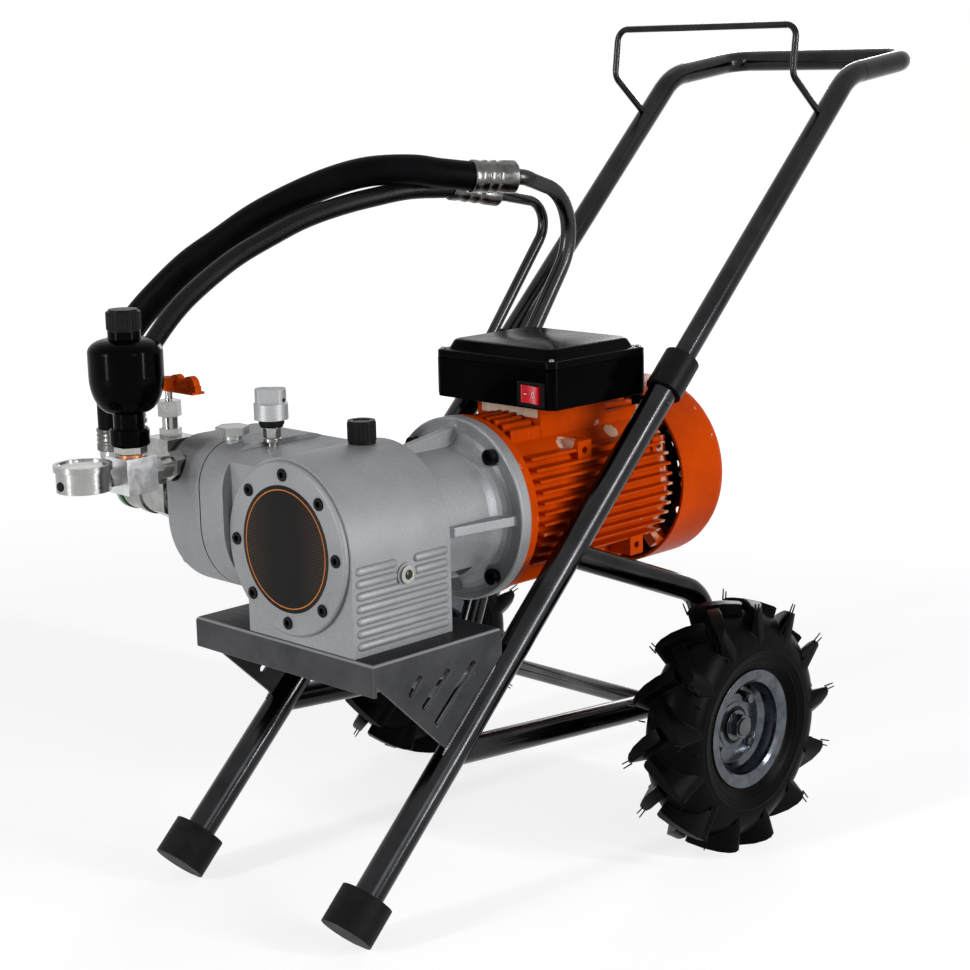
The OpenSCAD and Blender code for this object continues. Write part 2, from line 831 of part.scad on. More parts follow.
module pump_housing() {
    core_x = shaft_x - cover_d / 2 - slide_gap;
    bore_x = piston_x1 + 2 * throw;
    color("lightgray") cart() difference() {
        union() {
            y_extrude(housing_y, housing_back) {
                translate([shaft_x, shaft_z]) circle(r = arch_r);
                translate([housing_x0, tray_z]) square([shaft_x + arch_r - housing_x0, shaft_rise]);
            }
            x_extrude(body_x, core_x) body_outline(0);
            intersection() {
                x_extrude(core_x - fuse, 0) body_outline(0);
                translate([-arch_r, housing_y, tray_z])
                    cube([2 * arch_r, housing_l, 2 * arch_r]);
            }
            side_ribs();
            x_cylinder(glass_y, glass_z, shaft_x + arch_r - 6, shaft_x + arch_r + rib_proud, glass_boss_r);
            translate([plug_x, plug_y, body_top - 10]) cylinder(h = 12, r = plug_boss_r);
        }
        shaft_cylinder(housing_y - through, housing_back - back_wall, cavity_r);
        shaft_cylinder(housing_y, housing_back + through, shaft_r + 2);
        shaft_cylinder(housing_back - shaft_bearing_w - seat_gap, housing_back + through,
            bearing_ring_r + seat_gap);
        x_cylinder(body_y, shaft_z, body_x - through, bore_x, piston_r + run_gap);
        x_cylinder(body_y, shaft_z, body_x - through, body_x + chamber_l, chamber_r);
        x_cylinder(glass_y, glass_z, shaft_x + arch_r - 8, shaft_x + arch_r + through * 2, 6 + seat_gap);
        for (i = [0 : cover_screw_count - 1])
            y_cylinder(shaft_x + cover_pcd / 2 * cos(45 * i), shaft_z + cover_pcd / 2 * sin(45 * i),
                housing_y - through, housing_y + screw_l, screw_r + seat_gap);
        base_bolts(bolt_r + seat_gap, through);
        translate([plug_x, plug_y, body_top - 14]) cylinder(h = 20, r = 6 + seat_gap);
        translate([shaft_x, breather_y, shaft_z + arch_r - 14]) cylinder(h = 20, r = 8 + seat_gap);
        translate([regulator_x, regulator_y, body_top - 14])
            cylinder(h = 20, r = 6 + seat_gap);
        for (side = [-1, 1], z = [-1, 1])
            y_cylinder(shaft_x + side * bell_screw_place, shaft_z + z * bell_screw_place, housing_back - 15,
                housing_back + through, screw_r + seat_gap);
    }
}

module front_cover() {
    face = housing_y - cover_proud;
    spigot = 10;
    boss_r = bearing_ring_r + 8;
    boss_end = front_bearing_y + shaft_bearing_w;
    edge = 2;
    color("lightgray") cart() difference() {
        union() {
            shaft_revolve(face) polygon([[0, 0], [cover_d / 2 - edge, 0], [cover_d / 2, edge],
                [cover_d / 2, cover_proud], [cavity_r - seat_gap, cover_proud],
                [cavity_r - seat_gap, cover_proud + spigot], [0, cover_proud + spigot]]);
            shaft_cylinder(housing_y, boss_end, boss_r);
        }
        shaft_cylinder(front_bearing_y, boss_end + through, bearing_ring_r + seat_gap);
        difference() {
            shaft_cylinder(housing_y + 2, boss_end, cavity_r - 8);
            shaft_cylinder(housing_y, boss_end, boss_r);
        }
        shaft_cylinder(face - through, face + badge_recess, badge_d / 2 + seat_gap);
        for (i = [0 : cover_screw_count - 1]) {
            x = shaft_x + cover_pcd / 2 * cos(45 * i);
            z = shaft_z + cover_pcd / 2 * sin(45 * i);
            y_cylinder(x, z, face - through, housing_y + spigot, screw_r + seat_gap);
            y_cylinder(x, z, face - through, face + screw_head_h - 1.5, screw_head_r + seat_gap);
        }
    }
}

module cover_screws() {
    seat = housing_y - cover_proud + screw_head_h - 1.5;
    color("black") cart()
        for (i = [0 : cover_screw_count - 1]) {
            x = shaft_x + cover_pcd / 2 * cos(45 * i);
            z = shaft_z + cover_pcd / 2 * sin(45 * i);
            difference() {
                union() {
                    y_cylinder(x, z, seat - screw_head_h, seat, screw_head_r);
                    y_cylinder(x, z, seat - fuse, housing_y + screw_l - 1, screw_r);
                }
                translate([x, seat - 2.5, z]) rotate([90, 0, 0]) hex(6, 6);
            }
        }
}

module badge_disc() {
    front = housing_y - cover_proud + badge_recess;
    color("black") cart() shaft_cylinder(front - badge_t, front, badge_d / 2);
}

module pump_head() {
    gallery_r = 5;
    color("lightgray") cart() difference() {
        union() {
            x_extrude(head_x1 + 4, head_x0) body_outline(0);
            x_extrude(head_x1, head_x1 + 4 + fuse) body_outline(2.5);
            y_cylinder(block_x, port_z, port_y, body_y, port_boss_r);
            x_cylinder(body_y, body_z, head_x1 - 6, head_x1 + fuse, inlet_d / 2 + 6);
        }
        x_cylinder(body_y, shaft_z, head_x0 - 10, head_x0 + through, chamber_r);
        x_cylinder(body_y, body_z, head_x1 - 6 - through, head_x0, 15);
        x_cylinder(body_y, body_z, head_x1 - 6 - through, head_x1 + 12, inlet_d / 2 - 6 + seat_gap);
        y_cylinder(block_x, port_z, port_y - block_gap, port_y, port_boss_r + 2.5);
        y_cylinder(block_x, port_z, port_y - through, port_y + thread_l + 1, port_r + seat_gap);
        y_cylinder(block_x, port_z, port_y, body_y + gallery_r, gallery_r);
        rod([block_x, body_y, port_z], [head_x0, body_y, shaft_z + 40], 2 * gallery_r - 2);
        for (a = head_bolt_angles)
            x_cylinder(body_y + head_bolt_r * cos(a), body_z + head_bolt_r * sin(a),
                head_x1 - through, head_x0 - 12, bolt_r + seat_gap);
        for (side = [-1, 1])
            x_cylinder(valve_y + small_bolt_y, return_port_z + side * small_bolt_z,
                head_x1 - through, head_x1 + 12, small_bolt_r + seat_gap);
    }
}

module diaphragm() {
    color("dimgray") cart() x_extrude(head_x0 + 0.02, body_x - 0.02) body_outline(0.6);
}

module sight_glass() {
    seat = shaft_x + arch_r + rib_proud;
    color("silver") cart() {
        difference() {
            x_cylinder(glass_y, glass_z, seat, seat + bezel_proud, bezel_r);
            x_cylinder(glass_y, glass_z, seat + 1, seat + bezel_proud + through, 5);
        }
        x_cylinder(glass_y, glass_z, seat - 9, seat + fuse, 6);
        x_cylinder(glass_y, glass_z, seat, seat + 1.8, 4.8);
    }
}

module breather_cap() {
    base = shaft_z + arch_r;
    color("black") cart() translate([shaft_x, breather_y, 0]) {
        translate([0, 0, base - 12]) cylinder(h = 15, r = 8);
        difference() {
            union() {
                translate([0, 0, base]) cylinder(h = 24, r = breather_r - 0.8);
                for (i = [0 : 23])
                    rotate([0, 0, 15 * i]) translate([breather_r - 1.4, 0, base + 3])
                        cylinder(h = 19, r = 1.2);
            }
            translate([0, 0, base + 23]) cylinder(h = 4, r = 9);
        }
    }
}

module filler_plug() {
    seat = body_top + 2;
    color("silver") cart() translate([plug_x, plug_y, 0]) {
        translate([0, 0, seat - 14]) cylinder(h = 15, r = 6);
        translate([0, 0, seat]) cylinder(h = 5.5, r = 10);
        translate([0, 0, seat + 5]) hex(31, 9);
    }
}

module regulator_stem() {
    color("silver") cart() translate([regulator_x, regulator_y, body_top]) {
        translate([0, 0, -12]) cylinder(h = 13, r = 6);
        cylinder(h = regulator_stem_h, r = 7.8);
        translate([0, 0, regulator_stem_h - fuse]) cylinder(h = regulator_collar_h + fuse, r = 11);
        translate([0, 0, regulator_stem_h]) cylinder(h = regulator_collar_h + 14, r = spindle_r);
    }
}

module pressure_knob() {
    skirt_h = 17;
    flats = 24;
    base = body_top + regulator_stem_h + regulator_collar_h + 0.3;
    color("silver") cart() translate([regulator_x, regulator_y, base]) difference() {
        union() {
            cylinder(h = skirt_h, r = knob_r);
            intersection() {
                cylinder(h = knob_h, r = knob_r - 1.5);
                rotate([0, 0, 40]) translate([-knob_r, -flats / 2, skirt_h - fuse])
                    cube([2 * knob_r, flats, knob_h]);
            }
        }
        translate([0, 0, -through]) cylinder(h = 14 + through, r = spindle_r + run_gap);
    }
}

module eccentric() {
    color("silver") cart() difference() {
        y_cylinder(shaft_x - throw, shaft_z, crank_y - eccentric_w / 2, crank_y + eccentric_w / 2,
            eccentric_r);
        shaft_cylinder(0, housing_back, shaft_r + 0.02);
    }
}

module piston() {
    color("silver") cart() difference() {
        x_cylinder(body_y, shaft_z, piston_x1 - piston_l, piston_x1, piston_r);
        x_cylinder(body_y, shaft_z, piston_x1 - piston_l - through, piston_x1 - 14, piston_r - 6);
    }
}

// ---- Inlet ----

module inlet_body() {
    color("silver") cart() difference() {
        union() {
            x_cylinder(body_y, body_z, inlet_end, head_x1 - 6, inlet_d / 2);
            x_cylinder(body_y, body_z, head_x1 - 7, head_x1 + 11, inlet_d / 2 - 6);
            x_cylinder(body_y, body_z, inlet_end + 28, inlet_end + 36, inlet_d / 2 + 2);
            translate([inlet_end + 60, body_y, body_z]) rotate([0, 90, 0]) hex(inlet_d + 4, 22);
        }
        x_cylinder(body_y, body_z, inlet_end - through, head_x1 + 20, elbow_bore / 2);
    }
}

module inlet_seal() {
    color("green") cart() translate([inlet_end - seal_t, body_y, body_z]) rotate([0, 90, 0])
        ring(inlet_d / 2 + 1, elbow_bore / 2, seal_t);
}

module hose_elbows() {
    start = inlet_end - seal_t;
    nut_l = 14;
    color("silver") cart() {
        difference() {
            union() {
                bent_bar([[start, body_y, body_z], [hose_x, body_y, body_z],
                    [hose_x, body_y, hose_foot_z]], [elbow_r], elbow_d);
                x_cylinder(body_y, body_z, start - 5, start, inlet_d / 2 + 1);
            }
            bent_bar([[start, body_y, body_z], [hose_x, body_y, body_z],
                [hose_x, body_y, hose_foot_z]], [elbow_r], elbow_bore, through);
        }
        difference() {
            union() {
                bent_bar([[valve_x - return_w / 2, valve_y, return_port_z],
                    [return_elbow_x, valve_y, return_port_z], [return_elbow_x, valve_y, return_foot_z]],
                    [return_elbow_r], return_elbow_d - 4);
                translate([valve_x - return_w / 2 - nut_l, valve_y, return_port_z])
                    rotate([0, 90, 0]) hex(22, nut_l);
            }
            bent_bar([[valve_x - return_w / 2, valve_y, return_port_z],
                [return_elbow_x, valve_y, return_port_z], [return_elbow_x, valve_y, return_foot_z]],
                [return_elbow_r], return_elbow_bore - 2, through);
        }
    }
}

// ---- Outlet ----

module manifold_block() {
    half = block_w / 2;
    gallery_r = 4;
    color("silver") cart() difference() {
        translate([block_x - half, block_y - half, block_z]) cube([block_w, block_w, block_h]);
        y_cylinder(block_x, port_z, block_y + half - thread_l - 1, block_y + half + through,
            port_r + seat_gap);
        y_cylinder(block_x, port_z, block_y - half - through, block_y - half + 9, 5 + seat_gap);
        y_cylinder(block_x, port_z, block_y - half, block_y + half, gallery_r);
        translate([block_x, block_y, block_top - 12]) cylinder(h = 14, r = 8 + seat_gap);
        translate([block_x, block_y, port_z]) cylinder(h = block_h, r = gallery_r);
        x_cylinder(block_y, port_z, block_x - half, block_x, gallery_r);
        x_cylinder(block_y, port_z, block_x - half - through, block_x - half + spray_port_l,
            spray_port_r);
    }
}

module manifold_fitting() {
    y0 = block_y + block_w / 2;
    color("silver") cart() difference() {
        union() {
            y_cylinder(block_x, port_z, y0 - thread_l, port_y + thread_l, port_r);
            translate([block_x, y0, port_z]) rotate([-90, 0, 0]) hex(24, 13);
            y_cylinder(block_x, port_z, y0 + 12, port_y - 12, 11.5);
            translate([block_x, port_y - 15, port_z]) rotate([-90, 30, 0]) hex(27, 15);
        }
        y_cylinder(block_x, port_z, y0 - thread_l - through, port_y + thread_l + through, 4);
    }
}

module copper_washer() {
    color("peru") cart() translate([block_x, block_y, block_top]) ring(13, 8 + seat_gap, seal_washer_t);
}

module accumulator() {
    neck_r = 16;
    crown_r = 17;
    dome = 14;
    lower = [for (t = [0 : 9 : 90])
        [neck_r + (bulb_r - neck_r) * sin(t), bulb_z - (bulb_z - bulb_bottom) * cos(t)]];
    upper = [for (t = [0 : 10 : 80])
        [crown_r + (bulb_r - crown_r) * cos(t), bulb_top + dome * sin(t)]];
    color("black") cart() translate([block_x, block_y, 0]) {
        translate([0, 0, accumulator_z]) hex(29, adaptor_h + fuse);
        translate([0, 0, block_top - 11]) cylinder(h = 14, r = 8);
        rotate_extrude() polygon(concat([[0, neck_z], [19.6, neck_z], [20.6, neck_z + 2],
            [20.6, neck_z + 16], [19, neck_z + 18], [neck_r, neck_z + 18]], lower, upper,
            [[crown_r, bulb_top + dome], [crown_r, cap_z], [0, cap_z]]));
    }
}

module accumulator_cap() {
    cap_r = 18;
    color("black") cart() translate([block_x, block_y, cap_z]) {
        cylinder(h = cap_h - 2, r = cap_r - 1);
        cylinder(h = cap_h, r = cap_r - 3);
        for (i = [0 : 23])
            rotate([0, 0, 15 * i]) translate([cap_r - 1.6, 0, 2]) cylinder(h = cap_h - 5, r = 1.6);
    }
}

module gauge_case() {
    stem_y = block_y - block_w / 2;
    floor_t = 3;
    color("silver") cart() {
        translate([block_x, gauge_y, gauge_z]) difference() {
            union() {
                cylinder(h = gauge_h, r = gauge_r);
                translate([0, 0, gauge_h - 6]) cylinder(h = 6, r = gauge_r + gauge_rim);
            }
            translate([0, 0, floor_t]) cylinder(h = gauge_h, r = gauge_r - 2.2);
        }
        y_cylinder(block_x, port_z, stem_y - gauge_stem_l - 1.5, stem_y + 8, 5);
        translate([block_x, stem_y, port_z]) rotate([90, 0, 0]) hex(18, gauge_stem_l - 1);
        y_cylinder(block_x, port_z, gauge_y - gauge_r - 1, gauge_y - gauge_r + 1, 4);
    }
}

module gauge_dial() {
    color("white") cart() translate([block_x, gauge_y, gauge_z + 3]) difference() {
        cylinder(h = dial_z - gauge_z - 3, r = gauge_r - 2.2 - seat_gap);
        translate([0, 0, 5]) cylinder(h = dial_z, r = 1 + run_gap);
    }
}

module gauge_needle() {
    color("black") cart() translate([block_x, gauge_y, dial_z]) rotate([0, 0, -135]) {
        translate([0, 0, -5]) cylinder(h = 7, r = 1);
        translate([0, 0, 0.6]) cylinder(h = 1.4, r = 2.6);
        translate([-6, -0.7, 0.6]) cube([gauge_r - 2, 1.4, 0.8]);
    }
}

module gauge_glass() {
    color("lightblue") cart() translate([block_x, gauge_y, gauge_z + gauge_h - 3.5])
        cylinder(h = 2.2, r = gauge_r - 2.2 - seat_gap);
}

module return_block() {
    half = return_w / 2;
    depth = 40;
    color("silver") cart() difference() {
        translate([valve_x - half, valve_y - depth / 2, return_z]) cube([return_w, depth, return_h]);
        x_cylinder(valve_y, return_port_z, valve_x - half - through, valve_x, 5);
        translate([valve_x, valve_y, valve_z - 12]) cylinder(h = 14, r = 7 + seat_gap);
        for (side = [-1, 1])
            x_cylinder(valve_y + small_bolt_y, return_port_z + side * small_bolt_z,
                valve_x - half - through, valve_x + half + through, small_bolt_r + seat_gap);
    }
}

module valve_body() {
    color("silver") cart() translate([valve_x, valve_y, valve_z]) {
        translate([0, 0, -11]) cylinder(h = 12, r = 7);
        hex(21, 9);
        cylinder(h = 23, r = 8.5);
        translate([0, 0, 22]) hex(22, 17);
        translate([0, 0, 38]) cylinder(h = lever_z - valve_z - 38 + lever_t + 3, r = valve_stem_r);
    }
}

module valve_lever() {
    hub_h = 14;
    arm_w = 8;
    hump_r = 9.5;
    color("darkorange") cart() translate([valve_x, valve_y, lever_z]) difference() {
        union() {
            cylinder(h = hub_h, r = 8.5);
            rotate([90, 0, 0]) translate([0, 0, -arm_w / 2]) linear_extrude(arm_w) {
                square([lever_l, lever_t]);
                translate([lever_l * 0.33, lever_t]) circle(r = hump_r);
                translate([lever_l * 0.78, lever_t]) circle(r = hump_r);
            }
            translate([0, -8, 0]) cube([lever_l, 16, 2.5]);
        }
        translate([0, 0, -through]) cylinder(h = hub_h + 2 * through, r = valve_stem_r + run_gap);
    }
}

// ---- Motor ----

module bell_housing() {
    flange_r = flange_d / 2;
    flange_at = bell_l - flange_t;
    web_t = 10;
    color("silver") cart() difference() {
        union() {
            shaft_revolve(bell_y) polygon(concat([[0, 0], [barrel_r, 0]],
                arc(barrel_r + bell_fillet_r, flange_at - bell_fillet_r, bell_fillet_r, 180, 90, 6),
                [[flange_r - 1.5, flange_at], [flange_r, flange_at + 1.5], [flange_r, bell_l], [0, bell_l]]));
            for (a = [0 : 90 : 270])
                translate([shaft_x, bell_y, shaft_z]) rotate([0, -a, 0])
                    translate([0, 0, -web_t / 2]) linear_extrude(web_t)
                        polygon([[barrel_r - 6, 8], [barrel_r + 8, 20], [flange_r - 9, flange_at + 2],
                            [barrel_r - 6, flange_at + 2]]);
            y_cylinder(shaft_x, shaft_z + bolt_pcd / 2, bell_y + flange_at - 2, bell_y + flange_at + 2, 8);
        }
        shaft_cylinder(bell_y - through, flange_y, shaft_r + 2);
        shaft_cylinder(bell_y + bell_wall, flange_y + through, barrel_r - bell_wall);
        for (a = [bolt_angle, 180 - bolt_angle, 180 + bolt_angle, -bolt_angle])
            y_cylinder(shaft_x + bolt_pcd / 2 * cos(a), shaft_z + bolt_pcd / 2 * sin(a),
                bell_y, flange_y + through, bolt_r + seat_gap);
        for (a = [bolt_angle, 180 - bolt_angle, 180 + bolt_angle, -bolt_angle])
            y_cylinder(shaft_x + bolt_pcd / 2 * cos(a), shaft_z + bolt_pcd / 2 * sin(a),
                flange_y - flange_t - bell_fillet_r, flange_y - flange_t, bolt_head_r + slide_gap);
        for (side = [-1, 1])
            translate([shaft_x, bell_y + 56, shaft_z]) rotate([0, side > 0 ? 55 : 125, 0])
                translate([0, -18, -12]) cube([flange_d, 36, 24]);
        for (side = [-1, 1], z = [-1, 1])
            y_cylinder(shaft_x + side * bell_screw_place, shaft_z + z * bell_screw_place, bell_y - through,
                bell_y + bell_wall + through, screw_r + seat_gap);
    }
}

module case_bolts() {
    color("black") cart() {
        for (a = [bolt_angle, 180 - bolt_angle, 180 + bolt_angle, -bolt_angle]) {
            x = shaft_x + bolt_pcd / 2 * cos(a);
            z = shaft_z + bolt_pcd / 2 * sin(a);
            seat = flange_y - flange_t;
            y_cylinder(x, z, seat - fuse, flange_y + motor_flange_t, bolt_r);
            difference() {
                y_cylinder(x, z, seat - bolt_head_h, seat, bolt_head_r);
                translate([x, seat - 4, z]) rotate([90, 0, 0]) hex(8, 6);
            }
        }
        for (side = [-1, 1], z = [-1, 1]) {
            y_cylinder(shaft_x + side * bell_screw_place, shaft_z + z * bell_screw_place, housing_back - 14,
                bell_y + bell_wall + fuse, screw_r);
            y_cylinder(shaft_x + side * bell_screw_place, shaft_z + z * bell_screw_place, bell_y + bell_wall,
                bell_y + bell_wall + 7, screw_head_r);
        }
        for (a = head_bolt_angles) {
            y = body_y + head_bolt_r * cos(a);
            z = body_z + head_bolt_r * sin(a);
            x_cylinder(y, z, head_x1 - fuse, head_x0 - 13, bolt_r);
            x_cylinder(y, z, head_x1 - bolt_head_h, head_x1, bolt_head_r);
        }
        for (side = [-1, 1]) {
            y = valve_y + small_bolt_y;
            z = return_port_z + side * small_bolt_z;
            x_cylinder(y, z, valve_x - return_w / 2 - fuse, head_x1 + 11, small_bolt_r);
            x_cylinder(y, z, valve_x - return_w / 2 - 5, valve_x - return_w / 2, small_bolt_head_r);
        }
        difference() {
            union() {
                base_bolts(bolt_r, fuse);
                intersection() {
                    base_bolts(bolt_head_r, 7);
                    translate([-tray_w, 0, 0]) cube([2 * tray_w, housing_back, tray_z - tray_t]);
                }
            }
            translate([-tray_w, 0, tray_z + base_bolt_l - 1])
                cube([2 * tray_w, housing_back, through]);
        }
    }
}

module cooling_fins() {
    reach = motor_r + fin_h;
    intersection() {
        shaft_cylinder(fin_start, fin_end, reach);
        union() {
            for (i = [-5 : 5])
                translate([shaft_x - reach, fin_start, shaft_z + i * fin_pitch - fin_t / 2])
                    cube([2 * reach, fin_end - fin_start, fin_t]);
            for (i = [-4 : 4])
                translate([shaft_x + i * fin_pitch - fin_t / 2, fin_start, shaft_z - reach])
                    cube([fin_t, fin_end - fin_start, 2 * reach]);
        }
    }
}

module motor_frame() {
    flange_r = flange_d / 2 - 1;
    pad = 22;
    pedestal_w = 96;
    pedestal_y = box_y + 26;
    pedestal_l = 106;
    color("darkorange") cart() difference() {
        union() {
            shaft_revolve(flange_y) polygon([[0, 0], [flange_r, 0], [flange_r, motor_flange_t],
                [motor_r + 4, motor_flange_t + 6], [motor_r, motor_flange_t + 14],
                [motor_r, motor_l], [0, motor_l]]);
            cooling_fins();
            translate([shaft_x - pedestal_w / 2, pedestal_y, shaft_z])
                cube([pedestal_w, pedestal_l, box_z - shaft_z]);
            for (place = [[109, 56], [196, -67], [236, 42]], side = [0, 1])
                translate([shaft_x, 0, 0]) mirror([side, 0, 0])
                    translate([50, flange_y + place.x - pad / 2, shaft_z + place.y - pad / 2])
                        cube([30, pad, pad]);
            for (a = [45 : 90 : 315])
                translate([shaft_x, motor_end - 6, shaft_z]) rotate([0, -a, 0])
                    translate([motor_r - 6, -8, -6])
                        cube([fan_cover_d / 2 - fan_cover_wall - 0.3 - motor_r + 6, 22, 12]);
        }
        shaft_cylinder(flange_y + shield_t, motor_end - shield_t, motor_bore_r);
        shaft_cylinder(flange_y - through, motor_end + through, shaft_r + 2);
        shaft_cylinder(flange_y + 5, flange_y + shield_t + through, bearing_ring_r + seat_gap);
        shaft_cylinder(motor_end - shield_t - through, motor_end - 5, bearing_ring_r + seat_gap);
        for (a = [bolt_angle, 180 - bolt_angle, 180 + bolt_angle, -bolt_angle])
            y_cylinder(shaft_x + bolt_pcd / 2 * cos(a), shaft_z + bolt_pcd / 2 * sin(a),
                flange_y - through, flange_y + motor_flange_t + 1, bolt_r + seat_gap);
        for (place = [[109, 56], [196, -67], [236, 42]], side = [0, 1])
            translate([shaft_x, 0, 0]) mirror([side, 0, 0])
                x_cylinder(flange_y + place.x, shaft_z + place.y, 68, 90, 4);
    }
}

module stator() {
    color("peru") cart() difference() {
        union() {
            shaft_cylinder(stator_y, stator_y + stator_l, motor_bore_r - seat_gap);
            shaft_cylinder(stator_y - winding_l, stator_y + stator_l + winding_l, motor_bore_r - 10);
        }
        shaft_cylinder(flange_y, motor_end, rotor_r + 0.6);
    }
}

module rotor_shaft() {
    color("silver") cart() {
        shaft_cylinder(front_bearing_y + 2, fan_y + fan_l, shaft_r);
        shaft_cylinder(stator_y, stator_y + stator_l, rotor_r);
    }
}

module shaft_bearings() {
    places = [front_bearing_y, housing_back - shaft_bearing_w, flange_y + 5,
        motor_end - shield_t];
    color("silver") cart()
        for (y = places)
            translate([shaft_x, y, shaft_z]) rotate([-90, 0, 0])
                ring(bearing_ring_r, shaft_r + run_gap, shaft_bearing_w);
}

module cooling_fan() {
    hub = 24;
    disc_t = 3;
    color("black") cart() difference() {
        union() {
            shaft_cylinder(fan_y, fan_y + fan_l - 2, hub);
            shaft_cylinder(fan_y, fan_y + disc_t, fan_r - 8);
            for (i = [0 : fan_blades - 1])
                translate([shaft_x, fan_y, shaft_z]) rotate([0, 360 / fan_blades * i, 0])
                    translate([hub - 2, fuse, -1.5]) cube([fan_r - hub + 2, fan_l - 2 - 2 * fuse, 3]);
        }
        shaft_cylinder(fan_y - through, fan_y + fan_l + through, shaft_r + 0.02);
    }
}

module fan_cover() {
    r = fan_cover_d / 2;
    inner = r - fan_cover_wall;
    length = fan_cover_l;
    round_in = fan_cover_round - fan_cover_wall;
    color("darkorange") cart() difference() {
        shaft_revolve(motor_end) polygon(concat([[inner, 0], [r, 0]],
            arc(r - fan_cover_round, length - fan_cover_round, fan_cover_round, 0, 90, 6),
            [[0, length], [0, length - fan_cover_wall]],
            arc(inner - round_in, length - fan_cover_round, round_in, 90, 0, 6)));
        for (turn = [[30, 8], [48, 12], [66, 18]], i = [0 : turn[1] - 1]) {
            a = 360 / turn[1] * i;
            y_cylinder(shaft_x + turn[0] * cos(a), shaft_z + turn[0] * sin(a),
                motor_end + length - 10, motor_end + length + through, 5);
        }
    }
}

module terminal_box() {
    x0 = box_x - box_w / 2;
    color("black") cart() difference() {
        translate([x0, box_y, box_z]) cube([box_w, box_l, box_h]);
        translate([x0 + box_wall, box_y + box_wall, box_z + box_wall])
            cube([box_w - 2 * box_wall, box_l - 2 * box_wall, box_h]);
        translate([switch_x - bezel_w / 2 + 2, box_y - through, switch_z - bezel_h / 2 + 2])
            cube([bezel_w - 4, box_wall + 2 * through, bezel_h - 4]);
    }
}

module box_lid() {
    x0 = box_x - box_w / 2;
    panel_w = box_w - 2 * lid_inset;
    panel_l = box_l - 2 * lid_inset;
    color("black") cart() {
        translate([x0, box_y, box_top]) cube([box_w, box_l, lid_lip]);
        translate([x0 + box_wall + 0.3, box_y + box_wall + 0.3, box_top - 3])
            cube([box_w - 2 * box_wall - 0.6, box_l - 2 * box_wall - 0.6, 3 + fuse]);
        hull() {
            translate([x0 + lid_inset, box_y + lid_inset, box_top + lid_lip - fuse])
                cube([panel_w, panel_l, fuse]);
            translate([x0 + lid_inset + lid_bevel, box_y + lid_inset + lid_bevel,
                box_top + lid_lip + lid_h - fuse])
                cube([panel_w - 2 * lid_bevel, panel_l - 2 * lid_bevel, fuse]);
        }
    }
}

module rocker_bezel() {
    inner_w = rocker_w + 2.4;
    inner_h = rocker_h + 0.8;
    body_w = bezel_w - 4.4;
    body_h = bezel_h - 4.4;
    color("black") cart() translate([switch_x, box_y, switch_z]) difference() {
        union() {
            translate([-bezel_w / 2, -bezel_t, -bezel_h / 2]) cube([bezel_w, bezel_t, bezel_h]);
            translate([-body_w / 2, -fuse, -body_h / 2]) cube([body_w, bezel_depth, body_h]);
        }
        translate([-inner_w / 2, -bezel_t - through, -inner_h / 2])
            cube([inner_w, bezel_t + through + bezel_depth - 3, inner_h]);
        translate([0, rocker_y - box_y, -inner_h / 2 - 1]) cylinder(h = inner_h + 2, r = 1.5 + run_gap);
    }
}

module rocker() {
    color("red") cart() translate([switch_x, rocker_y, switch_z]) rotate([0, 0, -rocker_tilt]) {
        translate([0, 0, -rocker_h / 2 - 1]) cylinder(h = rocker_h + 2, r = 1.5);
        difference() {
            translate([-rocker_w / 2, -8, -rocker_h / 2]) cube([rocker_w, 13, rocker_h]);
            translate([0, -8 - 43.5, -rocker_h]) cylinder(h = 2 * rocker_h, r = 45);
        }
    }
}

// ---- Hoses and pick-up set ----

// Path of a pick-up tube: from inside its ferrule, round its bend and down behind the motor.
function tube_path(ferrule, bend, end) =
    let (u = unit(ferrule[0] - ferrule[1]))
    [ferrule[0] - 20 * u, ferrule[0] + 14 * u, bend, end];
suction_tube_path = tube_path(suction_ferrule, suction_tube_bend, suction_tube_end);
return_tube_path = tube_path(return_ferrule, return_tube_bend, return_tube_end);

// Outsides of the two pick-up tubes, larger all round by extra.
module tube_bars(extra, longer = 0) {
    bent_bar(suction_tube_path, [30, 66], suction_tube_d + 2 * extra, longer);
    bent_bar(return_tube_path, [40, 30], return_tube_d + 2 * extra, longer);
}

module suction_hose() {
    color("black") cart() swept_hose(suction_ferrule[0], suction_route, suction_hose_d);
}

module return_hose() {
    color("black") cart() swept_hose(return_ferrule[0], return_route, return_hose_d);
}

module hose_ferrules() {
    color("silver") cart() {
        difference() {
            union() {
                rod(suction_ferrule[0], suction_ferrule[1], suction_hose_d + 2 * ferrule_wall - 1);
                rod(return_ferrule[0], return_ferrule[1], return_hose_d + 2 * ferrule_wall);
            }
            tube_bars(seat_gap);
        }
        translate([hose_x, body_y, hose_foot_z - ferrule_l]) difference() {
            cylinder(h = ferrule_l, d = suction_hose_d + 2 * ferrule_wall);
            translate([0, 0, -through]) cylinder(h = ferrule_l + 2 * through, d = elbow_d + 2 * seat_gap);
        }
        translate([return_elbow_x, valve_y, return_foot_z - ferrule_l + 6]) difference() {
            cylinder(h = ferrule_l - 6, d = return_hose_d + 2 * ferrule_wall);
            translate([0, 0, -through])
                cylinder(h = ferrule_l + 2 * through, d = return_elbow_d - 4 + 2 * seat_gap);
        }
    }
}

module pickup_tubes() {
    color("silver") cart() difference() {
        tube_bars(0);
        tube_bars(-tube_wall_small, through);
    }
}

// Where a pick-up tube passes the clamp, across the leg and below it.
function in_clamp(path) =
    let (o = leg_point(-1, clamp_s + clamp_t / 2), u = path[3] - path[2],
        p = path[2] + u * ((o - path[2]) * leg_dir) / (u * leg_dir) - o)
    [p.x, -p * leg_normal];

